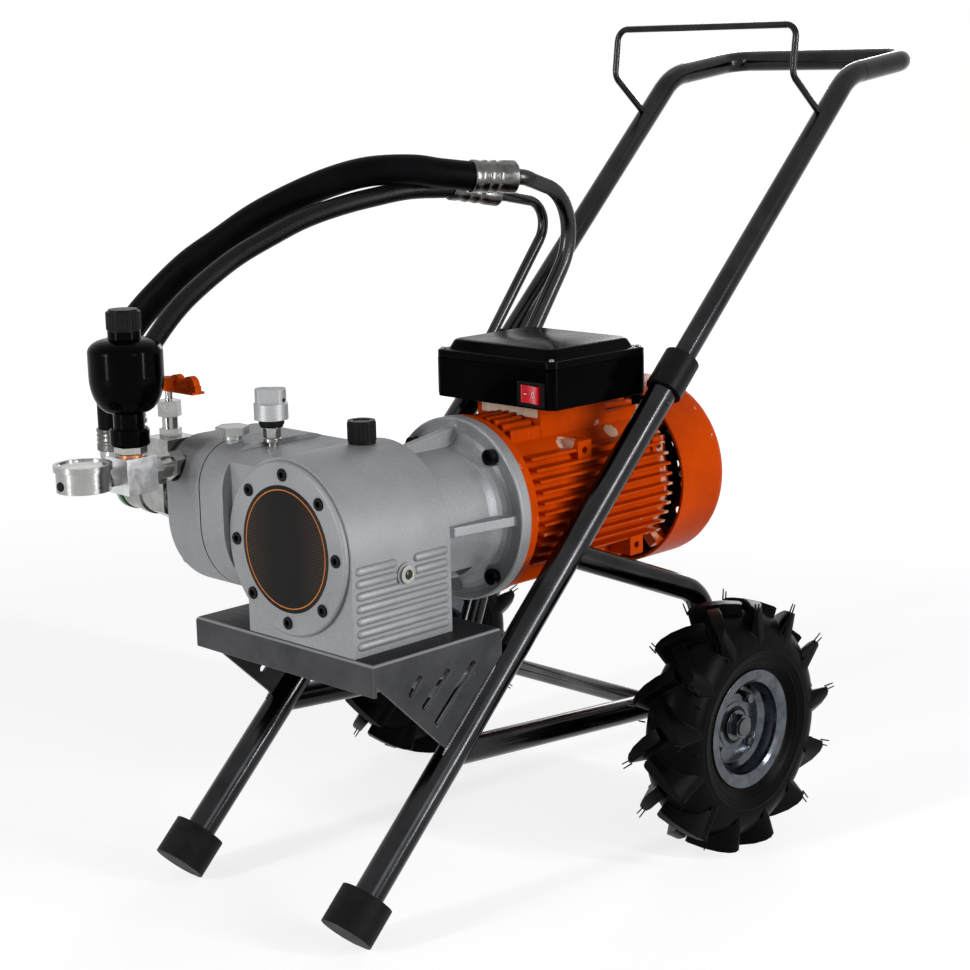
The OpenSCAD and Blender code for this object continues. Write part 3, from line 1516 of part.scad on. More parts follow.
module tube_clamp() {
    suction_at = in_clamp(suction_tube_path);
    return_at = in_clamp(return_tube_path);
    color("black") cart() difference() {
        on_leg(-1, clamp_s) {
            cylinder(h = clamp_t, d = tube_d + 2 * clamp_ring);
            translate(suction_at) cylinder(h = clamp_t, d = suction_tube_d + 2 * clamp_ring);
            translate(return_at) cylinder(h = clamp_t, d = return_tube_d + 2 * clamp_ring);
            linear_extrude(clamp_t) polygon([[-4, 0], return_at + [-8, 0], return_at + [8, 2],
                suction_at + [0, -8], suction_at + [0, 8], [0, 10]]);
        }
        leg_bars(seat_gap);
        tube_bars(seat_gap);
    }
}

module strainer() {
    u = unit(suction_tube_end - suction_tube_bend);
    start = suction_tube_end - 12 * u;
    end = start + strainer_l * u;
    color("silver") cart() difference() {
        union() {
            rod(start, end, 2 * strainer_r);
            rod(start - 8 * u, start + fuse * u, 2 * strainer_r - 6);
        }
        rod(start - 10 * u, start + 14 * u, suction_tube_d + 2 * seat_gap);
        rod(start + 2 * u, end - 3 * u, 2 * strainer_r - 5);
        for (i = [1 : 6], turn = [0, 90])
            translate(start + (12 + 6 * i) * u)
                rotate([0, acos(u.z), atan2(u.y, u.x)]) rotate([90, 0, turn])
                    cylinder(h = 4 * strainer_r, r = 2, center = true);
    }
}

frame_tubes();
rubber_feet();
handle_collars();
handle_tube();
hose_hook();
tray();
rear_struts();
axle();
tyre_left();
tyre_right();
rim_left();
rim_right();
wheel_bearings();
axle_nuts();
pump_housing();
front_cover();
cover_screws();
badge_disc();
pump_head();
diaphragm();
sight_glass();
breather_cap();
filler_plug();
regulator_stem();
pressure_knob();
inlet_body();
inlet_seal();
hose_elbows();
manifold_block();
manifold_fitting();
copper_washer();
accumulator();
accumulator_cap();
gauge_case();
gauge_dial();
gauge_needle();
gauge_glass();
return_block();
valve_body();
valve_lever();
bell_housing();
case_bolts();
motor_frame();
stator();
rotor_shaft();
shaft_bearings();
cooling_fan();
fan_cover();
terminal_box();
box_lid();
rocker_bezel();
rocker();
eccentric();
piston();
suction_hose();
return_hose();
hose_ferrules();
pickup_tubes();
tube_clamp();
strainer();
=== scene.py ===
"""Finishes, hoses and small fitted pieces of the airless paint sprayer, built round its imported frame."""

import json
import logging
import math
from dataclasses import dataclass
from enum import Enum
from functools import cached_property
from random import Random
from typing import Callable, ClassVar, Iterable, Mapping, NamedTuple, Optional, Sequence, Union

import bmesh
import bpy
from mathutils import Matrix, Vector

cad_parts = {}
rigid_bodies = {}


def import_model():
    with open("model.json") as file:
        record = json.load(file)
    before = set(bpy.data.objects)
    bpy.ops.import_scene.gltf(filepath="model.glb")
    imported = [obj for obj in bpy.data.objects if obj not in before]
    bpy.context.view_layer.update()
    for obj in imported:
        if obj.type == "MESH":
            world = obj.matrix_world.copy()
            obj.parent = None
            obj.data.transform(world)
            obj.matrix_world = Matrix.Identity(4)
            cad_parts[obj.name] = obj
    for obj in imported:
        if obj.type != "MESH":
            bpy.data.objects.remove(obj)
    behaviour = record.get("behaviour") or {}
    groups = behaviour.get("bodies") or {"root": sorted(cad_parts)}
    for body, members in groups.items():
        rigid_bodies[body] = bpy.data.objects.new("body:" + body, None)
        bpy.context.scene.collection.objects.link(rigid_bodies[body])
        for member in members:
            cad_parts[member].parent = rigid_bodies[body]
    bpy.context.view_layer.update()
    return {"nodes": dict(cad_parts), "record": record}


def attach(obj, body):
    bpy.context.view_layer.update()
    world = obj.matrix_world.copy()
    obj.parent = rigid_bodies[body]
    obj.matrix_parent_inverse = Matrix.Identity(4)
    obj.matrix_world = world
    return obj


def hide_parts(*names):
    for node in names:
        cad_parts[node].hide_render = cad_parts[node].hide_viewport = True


Socket = bpy.types.NodeSocket
Node = bpy.types.Node
Material = bpy.types.Material
Piece = bpy.types.Object
Edge = bmesh.types.BMEdge
Point = Sequence[float]
Value = Union[Socket, float]
Colour = Union[Socket, Point]
Profile = Sequence[tuple[float, float]]
EdgeTest = Callable[[Edge], bool]

LOG = logging.getLogger("sprayer")
IMAGE_SIDE = 970
MM = 0.001
CART = Vector((57.9, -438.751, 0.0))
UP = Vector((0.0, 0.0, 1.0))
OUTWARD = Vector((1.0, 0.0, 0.0))
BACKWARD = Vector((0.0, 1.0, 0.0))
LEG_SLOPE = math.radians(44.2)
LEG_X = 135.0
LEG_FOOT_Z = 19.432


def cart(x: float, y: float, z: float) -> Vector:
    """Turns millimetres in the cart's frame into metres in the part's frame.

    Args:
        x: Distance from the middle of the cart, towards the switch side.
        y: Distance behind the feet.
        z: Height above the ground.

    Returns:
        The point in the part's frame.
    """
    return (Vector((x, y, z)) + CART) * MM


def leg_point(side: int, distance: float) -> Vector:
    """Finds a point of a leg's centre line, in the cart's millimetres.

    Args:
        side: 1 for the switch side and -1 for the pump-head side.
        distance: Distance along the leg from its foot.

    Returns:
        The point in the cart's frame.
    """
    return Vector((LEG_X * side, distance * math.cos(LEG_SLOPE), LEG_FOOT_Z + distance * math.sin(LEG_SLOPE)))


class Body(Enum):
    """Bodies of the frame that new pieces ride on."""

    ROOT = "root"
    WHEEL_LEFT = "wheel_left"
    WHEEL_RIGHT = "wheel_right"
    KNOB = "knob"
    LEVER = "lever"
    SWITCH = "switch"


class Slot(Enum):
    """Material slots of the record."""

    CHROME = "dark_chrome_tube"
    RUBBER = "black_rubber"
    PLASTIC = "black_plastic"
    TYRE = "tyre_rubber"
    ZINC = "zinc_plate"
    STEEL = "steel"
    TRAY = "tray_steel"
    CASTING = "silver_casting"
    BARE_CASTING = "bare_casting"
    SCREW = "black_screw"
    BADGE = "badge"
    NICKEL = "nickel_brass"
    KNOB = "aluminium_knob"
    SEAL = "green_seal"
    STAINLESS = "stainless"
    COPPER = "copper"
    ENAMEL = "gloss_black"
    DIAL = "dial_white"
    NEEDLE = "needle_black"
    GLASS = "glass"
    LEVER = "orange_lever"
    ORANGE = "orange_paint"
    WINDING = "winding"
    DIAPHRAGM = "diaphragm_rubber"
    ROCKER = "red_rocker"
    HOSE = "hose_black"


class Graph:
    """Shader graph of a material or a world, with short calls for the nodes that they share."""

    def __init__(self, owner: Union[Material, bpy.types.World],
                 end: str = "ShaderNodeOutputMaterial") -> None:
        """Starts an empty graph.

        Args:
            owner: Material or world that the graph belongs to.
            end: Type name of its output node.
        """
        owner.use_nodes = True
        self.owner = owner
        self.tree = owner.node_tree
        self.tree.nodes.clear()
        self.end = self.tree.nodes.new(end)

    @cached_property
    def place(self) -> Socket:
        """Gives the coordinates in the object's own space."""
        return self.node("ShaderNodeTexCoord").outputs["Object"]

    def node(self, kind: str, inputs: Optional[Mapping] = None, **options: object) -> Node:
        """Adds a node.

        Args:
            kind: Type name of the node.
            inputs: Values, colours or sockets by the name or number of the input.
            **options: Properties of the node.

        Returns:
            The new node.
        """
        made = self.tree.nodes.new(kind)
        for key, value in options.items():
            setattr(made, key, value)
        for key, value in (inputs or {}).items():
            socket = made.inputs[key]
            if isinstance(value, Socket):
                self.tree.links.new(value, socket)
            else:
                opaque = socket.type == "RGBA" and len(value) == 3
                socket.default_value = (*value, 1.0) if opaque else value
        return made

    def end_in(self, shader: Node) -> None:
        """Makes a shader the graph's result."""
        self.tree.links.new(shader.outputs[0], self.end.inputs["Surface"])

    def noise(self, scale: float, detail: float = 4.0, roughness: float = 0.55,
              place: Optional[Socket] = None) -> Socket:
        """Adds a noise in object space.

        Args:
            scale: Features for each metre.
            detail: Octaves of the noise.
            roughness: Strength of the finer octaves.
            place: Coordinates, where they aren't the object's own.

        Returns:
            The noise's value.
        """
        made = self.node("ShaderNodeTexNoise", {"Scale": scale, "Detail": detail, "Roughness": roughness,
                                                "Vector": place or self.place})
        return made.outputs["Fac"]

    def cells(self, scale: float) -> Socket:
        """Adds a pattern of cells, so many for each metre, and gives the distance to their seeds."""
        return self.node("ShaderNodeTexVoronoi", {"Scale": scale, "Vector": self.place}).outputs["Distance"]

    def stretched(self, scale: Point, turn: Point = (0.0, 0.0, 0.0)) -> Socket:
        """Scales and turns the coordinates, for brushed and drawn surfaces.

        Args:
            scale: Factor along each axis.
            turn: Rotation in radians.

        Returns:
            The new coordinates.
        """
        made = self.node("ShaderNodeMapping", {"Vector": self.place, "Scale": scale, "Rotation": turn})
        return made.outputs["Vector"]

    def remap(self, value: Socket, low: float, high: float, new_low: float, new_high: float) -> Socket:
        """Maps a value from one range to another, clamped at its ends.

        Args:
            value: The value.
            low: Start of its range.
            high: End of its range.
            new_low: Result at the start.
            new_high: Result at the end.

        Returns:
            The mapped value.
        """
        made = self.node("ShaderNodeMapRange", {"Value": value, "From Min": low, "From Max": high,
                                                "To Min": new_low, "To Max": new_high})
        return made.outputs["Result"]

    def spread(self, value: Socket, low: float, high: float, most: float = 1.0) -> Socket:
        """Turns a value into a share that grows from 0 at low to most at high."""
        return self.remap(value, low, high, 0.0, most)

    def fading(self, value: Socket, full: float, gone: float, most: float = 1.0) -> Socket:
        """Turns a value into a share that falls from most at full to 0 at gone."""
        return self.remap(value, full, gone, most, 0.0)

    def maths(self, operation: str, a: Value, b: Value = 0.0) -> Socket:
        """Adds a math node on one or two values."""
        return self.node("ShaderNodeMath", {0: a, 1: b}, operation=operation).outputs[0]

    def times(self, a: Value, b: Value) -> Socket:
        """Multiplies two values."""
        return self.maths("MULTIPLY", a, b)

    def off(self, value: Socket, middle: float) -> Socket:
        """Finds how far a value is from a fixed one."""
        return self.maths("ABSOLUTE", self.maths("SUBTRACT", value, middle))

    def vector(self, operation: str, a: Socket, b: Union[Socket, Point] = (0.0, 0.0, 0.0)) -> Mapping:
        """Adds a vector math node on two vectors, and gives its outputs."""
        return self.node("ShaderNodeVectorMath", {0: a, 1: b}, operation=operation).outputs

    def parts(self, vector: Socket) -> Mapping:
        """Parts a vector into its X, Y and Z."""
        return self.node("ShaderNodeSeparateXYZ", {"Vector": vector}).outputs

    def blend(self, share: Value, first: Colour, second: Colour) -> Socket:
        """Mixes two colours: share 0 gives the first and 1 the second."""
        return self.node("ShaderNodeMix", {0: share, 6: first, 7: second}, data_type="RGBA").outputs[2]

    def mottled(self, first: Colour, second: Colour, cloud: Socket, limits: Point = (0.35, 0.7),
                most: float = 1.0) -> Socket:
        """Mixes a second colour into a first one where a cloud is thick.

        Args:
            first: Colour of the thin places.
            second: Colour of the thick places.
            cloud: The cloud's value.
            limits: Values where the second colour starts and is full.
            most: Share of the second colour in the thickest places.

        Returns:
            The mottled colour.
        """
        return self.blend(self.spread(cloud, *limits, most), first, second)

    def uneven(self, pattern: Socket, rough: float, least: float, most: float,
               limits: Point = (0.3, 0.7)) -> Socket:
        """Varies a roughness with a pattern.

        Args:
            pattern: The pattern's value.
            rough: Middle roughness.
            least: Factor on it at the pattern's low end.
            most: Factor on it at the pattern's high end.
            limits: The pattern's low and high ends.

        Returns:
            The roughness.
        """
        return self.remap(pattern, *limits, rough * least, rough * most)

    def round_edges(self, radius: float) -> Socket:
        """Rounds the shading of edges by a radius in metres, and gives the rounded normal."""
        return self.node("ShaderNodeBevel", {"Radius": radius}, samples=4).outputs["Normal"]

    def worn(self, tint: Colour, bare: Colour, rounded: Socket, share: float) -> Socket:
        """Wears a colour along the edges, found by how far the rounded normal leans from the true one.

        Args:
            tint: Colour of the surface.
            bare: Colour of a worn edge.
            rounded: Normal from round_edges.
            share: Share of the bare colour on the sharpest edges.

        Returns:
            The worn colour.
        """
        true_normal = self.node("ShaderNodeNewGeometry").outputs["True Normal"]
        alike = self.vector("DOT_PRODUCT", rounded, true_normal)["Value"]
        return self.blend(self.times(self.remap(alike, 0.98, 0.86, 0.0, 1.0), share), tint, bare)

    def bump(self, height: Socket, strength: float, depth: float, normal: Optional[Socket] = None) -> Socket:
        """Adds relief.

        Args:
            height: Height from 0 to 1.
            strength: How strongly the relief shows.
            depth: Depth of the relief in metres.
            normal: Normal that the relief adds to.

        Returns:
            The new normal.
        """
        inputs = {"Height": height, "Strength": strength, "Distance": depth}
        if normal is not None:
            inputs["Normal"] = normal
        return self.node("ShaderNodeBump", inputs).outputs["Normal"]

    def surface(self, **inputs: Union[Socket, float, Point]) -> Material:
        """Ends the graph in one surface shader.

        Args:
            **inputs: Values or sockets by the input's name, with _ for a space.

        Returns:
            The finished material.
        """
        named = {key.replace("_", " "): value for key, value in inputs.items()}
        self.end_in(self.node("ShaderNodeBsdfPrincipled", named))
        return self.owner

    def seen_directly(self) -> Socket:
        """Finds the rays that show the background: camera, mirror and glass rays.

        Returns:
            1 for such a ray and 0 for the others.
        """
        path = self.node("ShaderNodeLightPath").outputs
        bounced = self.maths("MAXIMUM", path["Is Camera Ray"], path["Is Glossy Ray"])
        return self.maths("MAXIMUM", bounced, path["Is Transmission Ray"])

    def end_in_mix(self, lighting: Node, seen: Node) -> None:
        """Ends the graph in one shader that lights the scene and another that is seen."""
        shares = {0: self.seen_directly(), 1: lighting.outputs[0], 2: seen.outputs[0]}
        self.end_in(self.node("ShaderNodeMixShader", shares))


@dataclass(frozen=True)
class Finish:
    """Surface finish that is made once and shared by its pieces."""

    name: str
    made: ClassVar[dict[str, Material]] = {}

    def paint(self, graph: Graph) -> Material:
        """Fills the shader graph; each finish has its own."""
        raise NotImplementedError

    def material(self) -> Material:
        """Gives the finish's material, and makes it the first time."""
        if self.name not in self.made:
            self.made[self.name] = self.paint(Graph(bpy.data.materials.new(self.name)))
        return self.made[self.name]


@dataclass(frozen=True)
class ChromeTube(Finish):
    """Dark mirror plate on drawn tube, with faint wipe marks and specks."""

    tint: Point = (0.03, 0.0305, 0.032)
    shine: float = 0.19
    dull: float = 0.62
    speck: Point = (0.16, 0.16, 0.16)
    wipe: Point = (9.0, 1.0, 1.0)
    wipe_turn: Point = (0.77, 0.0, 0.0)
    wipes_per_metre: float = 14.0
    clouds_per_metre: float = 22.0
    specks_per_metre: float = 420.0

    def paint(self, graph: Graph) -> Material:
        """Paints drawn tube under dark plate.

        Args:
            graph: Empty graph of the finish.

        Returns:
            The finished material.
        """
        drawn = graph.noise(self.wipes_per_metre, 5.0, 0.6, graph.stretched(self.wipe, self.wipe_turn))
        cloud = graph.noise(self.clouds_per_metre, 3.0)
        tint = graph.mottled(self.tint, tuple(c * self.dull for c in self.tint), cloud)
        tint = graph.blend(graph.fading(graph.cells(self.specks_per_metre), 0.03, 0.05), tint, self.speck)
        return graph.surface(Base_Color=tint, Metallic=1.0, Normal=graph.bump(drawn, 0.03, 0.0003),
                             Roughness=graph.uneven(drawn, self.shine, 0.8, 1.25, (0.3, 0.75)))


@dataclass(frozen=True)
class Moulding(Finish):
    """Moulded rubber or plastic with a fine texture and pale dust."""

    colour: Point = (0.008, 0.008, 0.009)
    dust: Point = (0.022, 0.022, 0.0235)
    rough: float = 0.5
    grain: float = 900.0
    depth: float = 0.00025
    shine: float = 0.07
    edge: float = 0.0008
    clouds_per_metre: float = 28.0
    dust_share: float = 0.6
    edge_share: float = 0.45

    def paint(self, graph: Graph) -> Material:
        """Paints a textured moulding.

        Args:
            graph: Empty graph of the finish.

        Returns:
            The finished material.
        """
        rounded = graph.round_edges(self.edge)
        grain = graph.noise(self.grain, 3.0, 0.6)
        cloud = graph.noise(self.clouds_per_metre, 5.0, 0.65)
        tint = graph.mottled(self.colour, self.dust, cloud, (0.5, 0.85), self.dust_share)
        tint = graph.worn(tint, self.dust, rounded, self.edge_share)
        return graph.surface(Base_Color=tint, Roughness=graph.uneven(cloud, self.rough, 0.85, 1.2),
                             Specular_IOR_Level=self.shine,
                             Normal=graph.bump(grain, 0.35, self.depth, rounded))


@dataclass(frozen=True)
class MachinedMetal(Finish):
    """Turned, brushed or plated metal with fine tool lines."""

    colour: Point = (0.5, 0.5, 0.51)
    dark: Point = (0.28, 0.28, 0.3)
    rough: float = 0.28
    lines: Point = (60.0, 60.0, 1400.0)
    depth: float = 0.00012
    edge: float = 0.0006
    # Share of the lighter colour on the edges, which paints wear and a highlight.
    wear: float = 0.5
    stains_per_metre: float = 55.0
    brighter: float = 1.35

    def paint(self, graph: Graph) -> Material:
        """Paints tool lines, stains and lighter edges, partly worn metal and partly a painted highlight.

        Args:
            graph: Empty graph of the finish.

        Returns:
            The finished material.
        """
        rounded = graph.round_edges(self.edge)
        tool = graph.noise(1.0, 4.0, 0.7, graph.stretched(self.lines))
        stain = graph.noise(self.stains_per_metre, 5.0, 0.65)
        tint = graph.mottled(self.colour, self.dark, stain, (0.4, 0.72))
        # Edges are lightened: partly worn metal, partly a painted highlight.
        edge_wear_and_highlight = tuple(min(1.0, c * self.brighter) for c in self.colour)
        tint = graph.worn(tint, edge_wear_and_highlight, rounded, self.wear)
        return graph.surface(Base_Color=tint, Metallic=1.0, Normal=graph.bump(tool, 0.3, self.depth, rounded),
                             Roughness=graph.uneven(tool, self.rough, 0.7, 1.5, (0.3, 0.75)))


@dataclass(frozen=True)
class CastPaint(Finish):
    """Sprayed paint on a sand casting: fine grain, cloudy tone and brighter, thinner edges."""

    colour: Point = (0.292, 0.297, 0.309)
    shade: Point = (0.212, 0.216, 0.224)
    bare: Point = (0.5, 0.505, 0.52)
    metal: float = 0.3
    rough: float = 0.42
    grain: float = 900.0
    depth: float = 0.00035
    edge: float = 0.0012
    wear: float = 0.55
    speckle: float = 0.3
    lumps_per_metre: float = 260.0
    clouds_per_metre: float = 9.0

    def paint(self, graph: Graph) -> Material:
        """Paints the casting's skin.

        Args:
            graph: Empty graph of the finish.

        Returns:
            The finished material.
        """
        rounded = graph.round_edges(self.edge)
        grain = graph.noise(self.grain, 2.0, 0.5)
        lumps = graph.noise(self.lumps_per_metre, 4.0, 0.6)
        cloud = graph.noise(self.clouds_per_metre, 4.0, 0.6)
        tint = graph.mottled(self.colour, self.shade, cloud, most=0.8)
        tint = graph.mottled(tint, self.bare, grain, (0.52, 0.68), self.speckle)
        tint = graph.worn(tint, self.bare, rounded, self.wear)
        skin = graph.maths("ADD", graph.times(grain, 0.6), graph.times(lumps, 0.8))
        return graph.surface(Base_Color=tint, Metallic=self.metal, Specular_IOR_Level=0.2,
                             Roughness=graph.uneven(lumps, self.rough, 0.85, 1.25),
                             Normal=graph.bump(skin, 0.32, self.depth, rounded))


@dataclass(frozen=True)
class SheetPaint(Finish):
    """Rolled sheet under a thin metallic paint, with painted shade on its upward faces and a painted
    highlight along its folds.
    """

    colour: Point = (0.078, 0.079, 0.082)
    shade: Point = (0.034, 0.035, 0.038)
    # Colour of scuffs and worn edges, also used for the painted highlight along the folds.
    bare: Point = (0.34, 0.343, 0.35)
    # Colour of the painted shade on upward faces, where the tray's top takes less light.
    painted_top_shade: Point = (0.012, 0.0122, 0.013)
    metal: float = 0.1
    rough: float = 0.36
    edge: float = 0.0014
    rolling: Point = (14.0, 380.0, 380.0)
    scratches: Point = (260.0, 34.0, 90.0)
    scratch_turn: Point = (0.0, 0.0, 0.6)
    clouds_per_metre: float = 11.0
    # Lean of the fold faces that carry the painted highlight.
    fold_highlight_lean: float = 0.62

    def paint(self, graph: Graph) -> Material:
        """Paints the sheet.

        Args:
            graph: Empty graph of the finish.

        Returns:
            The finished material.
        """
        rounded = graph.round_edges(self.edge)
        rolled = graph.noise(1.0, 4.0, 0.65, graph.stretched(self.rolling))
        cloud = graph.noise(self.clouds_per_metre, 5.0, 0.65)
        scuff = graph.noise(1.0, 6.0, 0.7, graph.stretched(self.scratches, self.scratch_turn))
        tint = graph.mottled(self.colour, self.shade, cloud)
        tint = graph.mottled(tint, self.bare, scuff, (0.66, 0.72), 0.6)
        tint = graph.worn(tint, self.bare, rounded, 0.6)
        upward = graph.parts(graph.node("ShaderNodeNewGeometry").outputs["Normal"])["Z"]
        # Upward faces are turned darker: painted shade on the tray's top.
        tint = graph.mottled(tint, self.painted_top_shade, upward, (0.94, 0.99), 0.85)
        # Faces leaning like the folds are lightened: a painted highlight along the folds.
        fold_highlight = graph.fading(graph.off(upward, self.fold_highlight_lean), 0.16, 0.34, 0.7)
        tint = graph.blend(fold_highlight, tint, self.bare)
        return graph.surface(Base_Color=tint, Metallic=self.metal, Specular_IOR_Level=0.03,
                             Roughness=graph.uneven(rolled, self.rough, 0.75, 1.35, (0.3, 0.75)),
                             Normal=graph.bump(rolled, 0.2, 0.00015, rounded))


@dataclass(frozen=True)
class GlossEnamel(Finish):
    """Gloss enamel or gloss plastic with an even, slightly rippled skin."""

    colour: Point = (0.0008, 0.0008, 0.0009)
    haze: Point = (0.002, 0.002, 0.0023)
    rough: float = 0.13
    ripple: float = 190.0
    edge: float = 0.001
    shine: float = 0.025
    clouds_per_metre: float = 17.0

    def paint(self, graph: Graph) -> Material:
        """Paints a rippled gloss.

        Args:
            graph: Empty graph of the finish.

        Returns:
            The finished material.
        """
        rounded = graph.round_edges(self.edge)
        ripple = graph.noise(self.ripple, 3.0, 0.5)
        cloud = graph.noise(self.clouds_per_metre, 5.0, 0.7)
        return graph.surface(Base_Color=graph.mottled(self.colour, self.haze, cloud, (0.5, 0.8)),
                             Roughness=graph.uneven(cloud, self.rough, 0.8, 1.7, (0.35, 0.75)),
                             Specular_IOR_Level=self.shine,
                             Normal=graph.bump(ripple, 0.07, 0.0006, rounded))


@dataclass(frozen=True)
class OrangeCasting(Finish):
    """Orange enamel on a casting, chipped to pale primer at the ends of its fins and in patches."""

    colour: Point = (0.72, 0.105, 0.004)
    deep: Point = (0.52, 0.062, 0.003)
    primer: Point = (0.66, 0.45, 0.32)
    chips: bool = True
    fin_end: float = 0.0952
    fin_band: float = 0.011
    patches: Sequence[tuple[Point, float]] = ()
    edge: float = 0.0012
    peel_per_metre: float = 620.0
    clouds_per_metre: float = 13.0
    flakes_per_metre: float = 38.0
    wear_per_metre: float = 60.0
    chip_depth: float = 0.8

    def bare_places(self, graph: Graph) -> Socket:
        """Marks the chips, the worn ends of the fins and the bare patches.

        Args:
            graph: Graph of the finish.

        Returns:
            1 where the primer shows.
        """
        flake = graph.noise(self.flakes_per_metre, 6.0, 0.7)
        bare = graph.spread(flake, 0.675, 0.69)
        from_end = graph.off(graph.parts(graph.place)["Y"], self.fin_end - 0.2 * self.fin_band)
        band = graph.fading(from_end, self.fin_band * 0.3, self.fin_band * 0.6)
        worn = graph.spread(graph.noise(self.wear_per_metre, 3.0), 0.44, 0.54, 0.75)
        bare = graph.maths("MAXIMUM", bare, graph.times(band, worn))
        for centre, radius in self.patches:
            away = graph.vector("DISTANCE", graph.place, centre)["Value"]
            ragged = graph.maths("ADD", away, graph.times(flake, radius * 1.6))
            patch = graph.fading(ragged, radius * 1.72, radius * 1.78, 0.85)
            bare = graph.maths("MAXIMUM", bare, patch)
        return bare

    def paint(self, graph: Graph) -> Material:
        """Paints the enamel, its runs and its chips.

        Args:
            graph: Empty graph of the finish.

        Returns:
            The finished material.
        """
        rounded = graph.round_edges(self.edge)
        height = peel = graph.noise(self.peel_per_metre, 3.0, 0.5)
        cloud = graph.noise(self.clouds_per_metre, 4.0, 0.6)
        tint = graph.mottled(self.colour, self.deep, cloud)
        if self.chips:
            bare = self.bare_places(graph)
            tint = graph.blend(bare, tint, self.primer)
            height = graph.maths("SUBTRACT", peel, graph.times(bare, self.chip_depth))
        return graph.surface(Base_Color=tint, Roughness=graph.remap(peel, 0.3, 0.7, 0.24, 0.4),
                             Specular_IOR_Level=0.025, Normal=graph.bump(height, 0.16, 0.0005, rounded))


@dataclass(frozen=True)
class RingedBadge(Finish):
    """Dark gloss disc with hair lines across it and one thin coloured ring near its rim."""

    centre: Point = (0.0, 0.0, 0.0)
    ground: Point = (0.003, 0.0026, 0.0025)
    line: Point = (0.075, 0.045, 0.028)
    ring: Point = (0.62, 0.2, 0.04)
    ring_radius: float = 0.061
    ring_half: float = 0.00042
    line_pitch: float = 0.0023
    quiet: float = 0.02
    radius: float = 0.064
    smears_per_metre: float = 40.0

    def paint(self, graph: Graph) -> Material:
        """Paints the disc round its own centre.

        Args:
            graph: Empty graph of the finish.

        Returns:
            The finished material.
        """
        offset = graph.vector("SUBTRACT", graph.place, self.centre)["Vector"]
        in_face = graph.vector("MULTIPLY", offset, (1.0, 0.0, 1.0))["Vector"]
        radius = graph.vector("LENGTH", in_face)["Value"]
        across, _, height = graph.parts(offset)
        wave = graph.maths("SINE", graph.times(height, 2.0 * math.pi / self.line_pitch))
        shown = graph.spread(graph.maths("ABSOLUTE", across), self.quiet, self.radius)
        lines = graph.times(graph.spread(wave, 0.0, 0.9), shown)
        on_ring = graph.fading(graph.off(radius, self.ring_radius), self.ring_half, self.ring_half * 1.5)
        tint = graph.blend(on_ring, graph.blend(lines, self.ground, self.line), self.ring)
        smear = graph.noise(self.smears_per_metre, 4.0)
        return graph.surface(Base_Color=tint, Roughness=graph.remap(smear, 0.3, 0.7, 0.28, 0.46),
                             Specular_IOR_Level=0.1, Normal=graph.bump(lines, 0.1, 0.0001))


@dataclass(frozen=True)
class ClearGlass(Finish):
    """Clear gauge glass with a trace of dust."""

    tint: Point = (0.93, 0.96, 0.96)
    bending: float = 1.45
    dust_per_metre: float = 300.0

    def paint(self, graph: Graph) -> Material:
        """Paints the glass."""
        dust = graph.noise(self.dust_per_metre, 4.0)
        return graph.surface(Base_Color=self.tint, Roughness=graph.remap(dust, 0.4, 0.8, 0.01, 0.09),
                             Transmission_Weight=1.0, IOR=self.bending)


@dataclass(frozen=True)
class Lacquer(Finish):
    """Clean printed or translucent lacquer with a faint mottle."""

    colour: Point = (0.85, 0.85, 0.83)
    mottle: Point = (0.74, 0.74, 0.71)
    rough: float = 0.4
    glow: float = 0.0
    clouds_per_metre: float = 120.0

    def paint(self, graph: Graph) -> Material:
        """Paints an even lacquer."""
        cloud = graph.noise(self.clouds_per_metre, 4.0)
        return graph.surface(Base_Color=graph.mottled(self.colour, self.mottle, cloud),
                             Roughness=graph.uneven(cloud, self.rough, 0.8, 1.2), Coat_Weight=0.3,
                             Coat_Roughness=0.1, Emission_Color=self.colour, Emission_Strength=self.glow)


@dataclass(frozen=True)
class Winding(Finish):
    """Stacked laminations and varnished wire, seen only through the case's openings."""

    copper: Point = (0.32, 0.17, 0.08)
    iron: Point = (0.12, 0.1, 0.09)
    stack: Point = (30.0, 1800.0, 30.0)

    def paint(self, graph: Graph) -> Material:
        """Paints the stack."""
        sheets = graph.noise(1.0, 2.0, 0.5, graph.stretched(self.stack))
        return graph.surface(Base_Color=graph.mottled(self.copper, self.iron, sheets, (0.4, 0.6)),
                             Metallic=0.7, Roughness=graph.remap(sheets, 0.3, 0.7, 0.35, 0.6),
                             Normal=graph.bump(sheets, 0.4, 0.0003))


@dataclass(frozen=True)
class HoseRubber(Finish):
    """Hose cover: smooth rubber, or rubber with the weave of its wrapping pressed in."""

    colour: Point = (0.004, 0.004, 0.0045)
    weave: float = 0.0
    rough: float = 0.42
    shine: float = 0.03
    thread: Point = (0.014, 0.014, 0.015)
    faded: float = 2.6
    fine_per_metre: float = 700.0
    clouds_per_metre: float = 18.0

    def paint(self, graph: Graph) -> Material:
        """Paints the hose's cover.

        Args:
            graph: Empty graph of the finish.

        Returns:
            The finished material.
        """
        height = fine = graph.noise(self.fine_per_metre, 3.0, 0.6)
        cloud = graph.noise(self.clouds_per_metre, 4.0, 0.6)
        tint = graph.mottled(self.colour, tuple(c * self.faded for c in self.colour), cloud, (0.45, 0.75))
        if self.weave > 0.0:
            cloth = graph.cells(self.weave)
            height = graph.maths("ADD", graph.times(fine, 0.3), cloth)
            tint = graph.mottled(tint, self.thread, cloth, (0.2, 0.55), 0.5)
        return graph.surface(Base_Color=tint, Roughness=graph.uneven(cloud, self.rough, 0.8, 1.25),
                             Specular_IOR_Level=self.shine, Normal=graph.bump(height, 0.3, 0.0004))


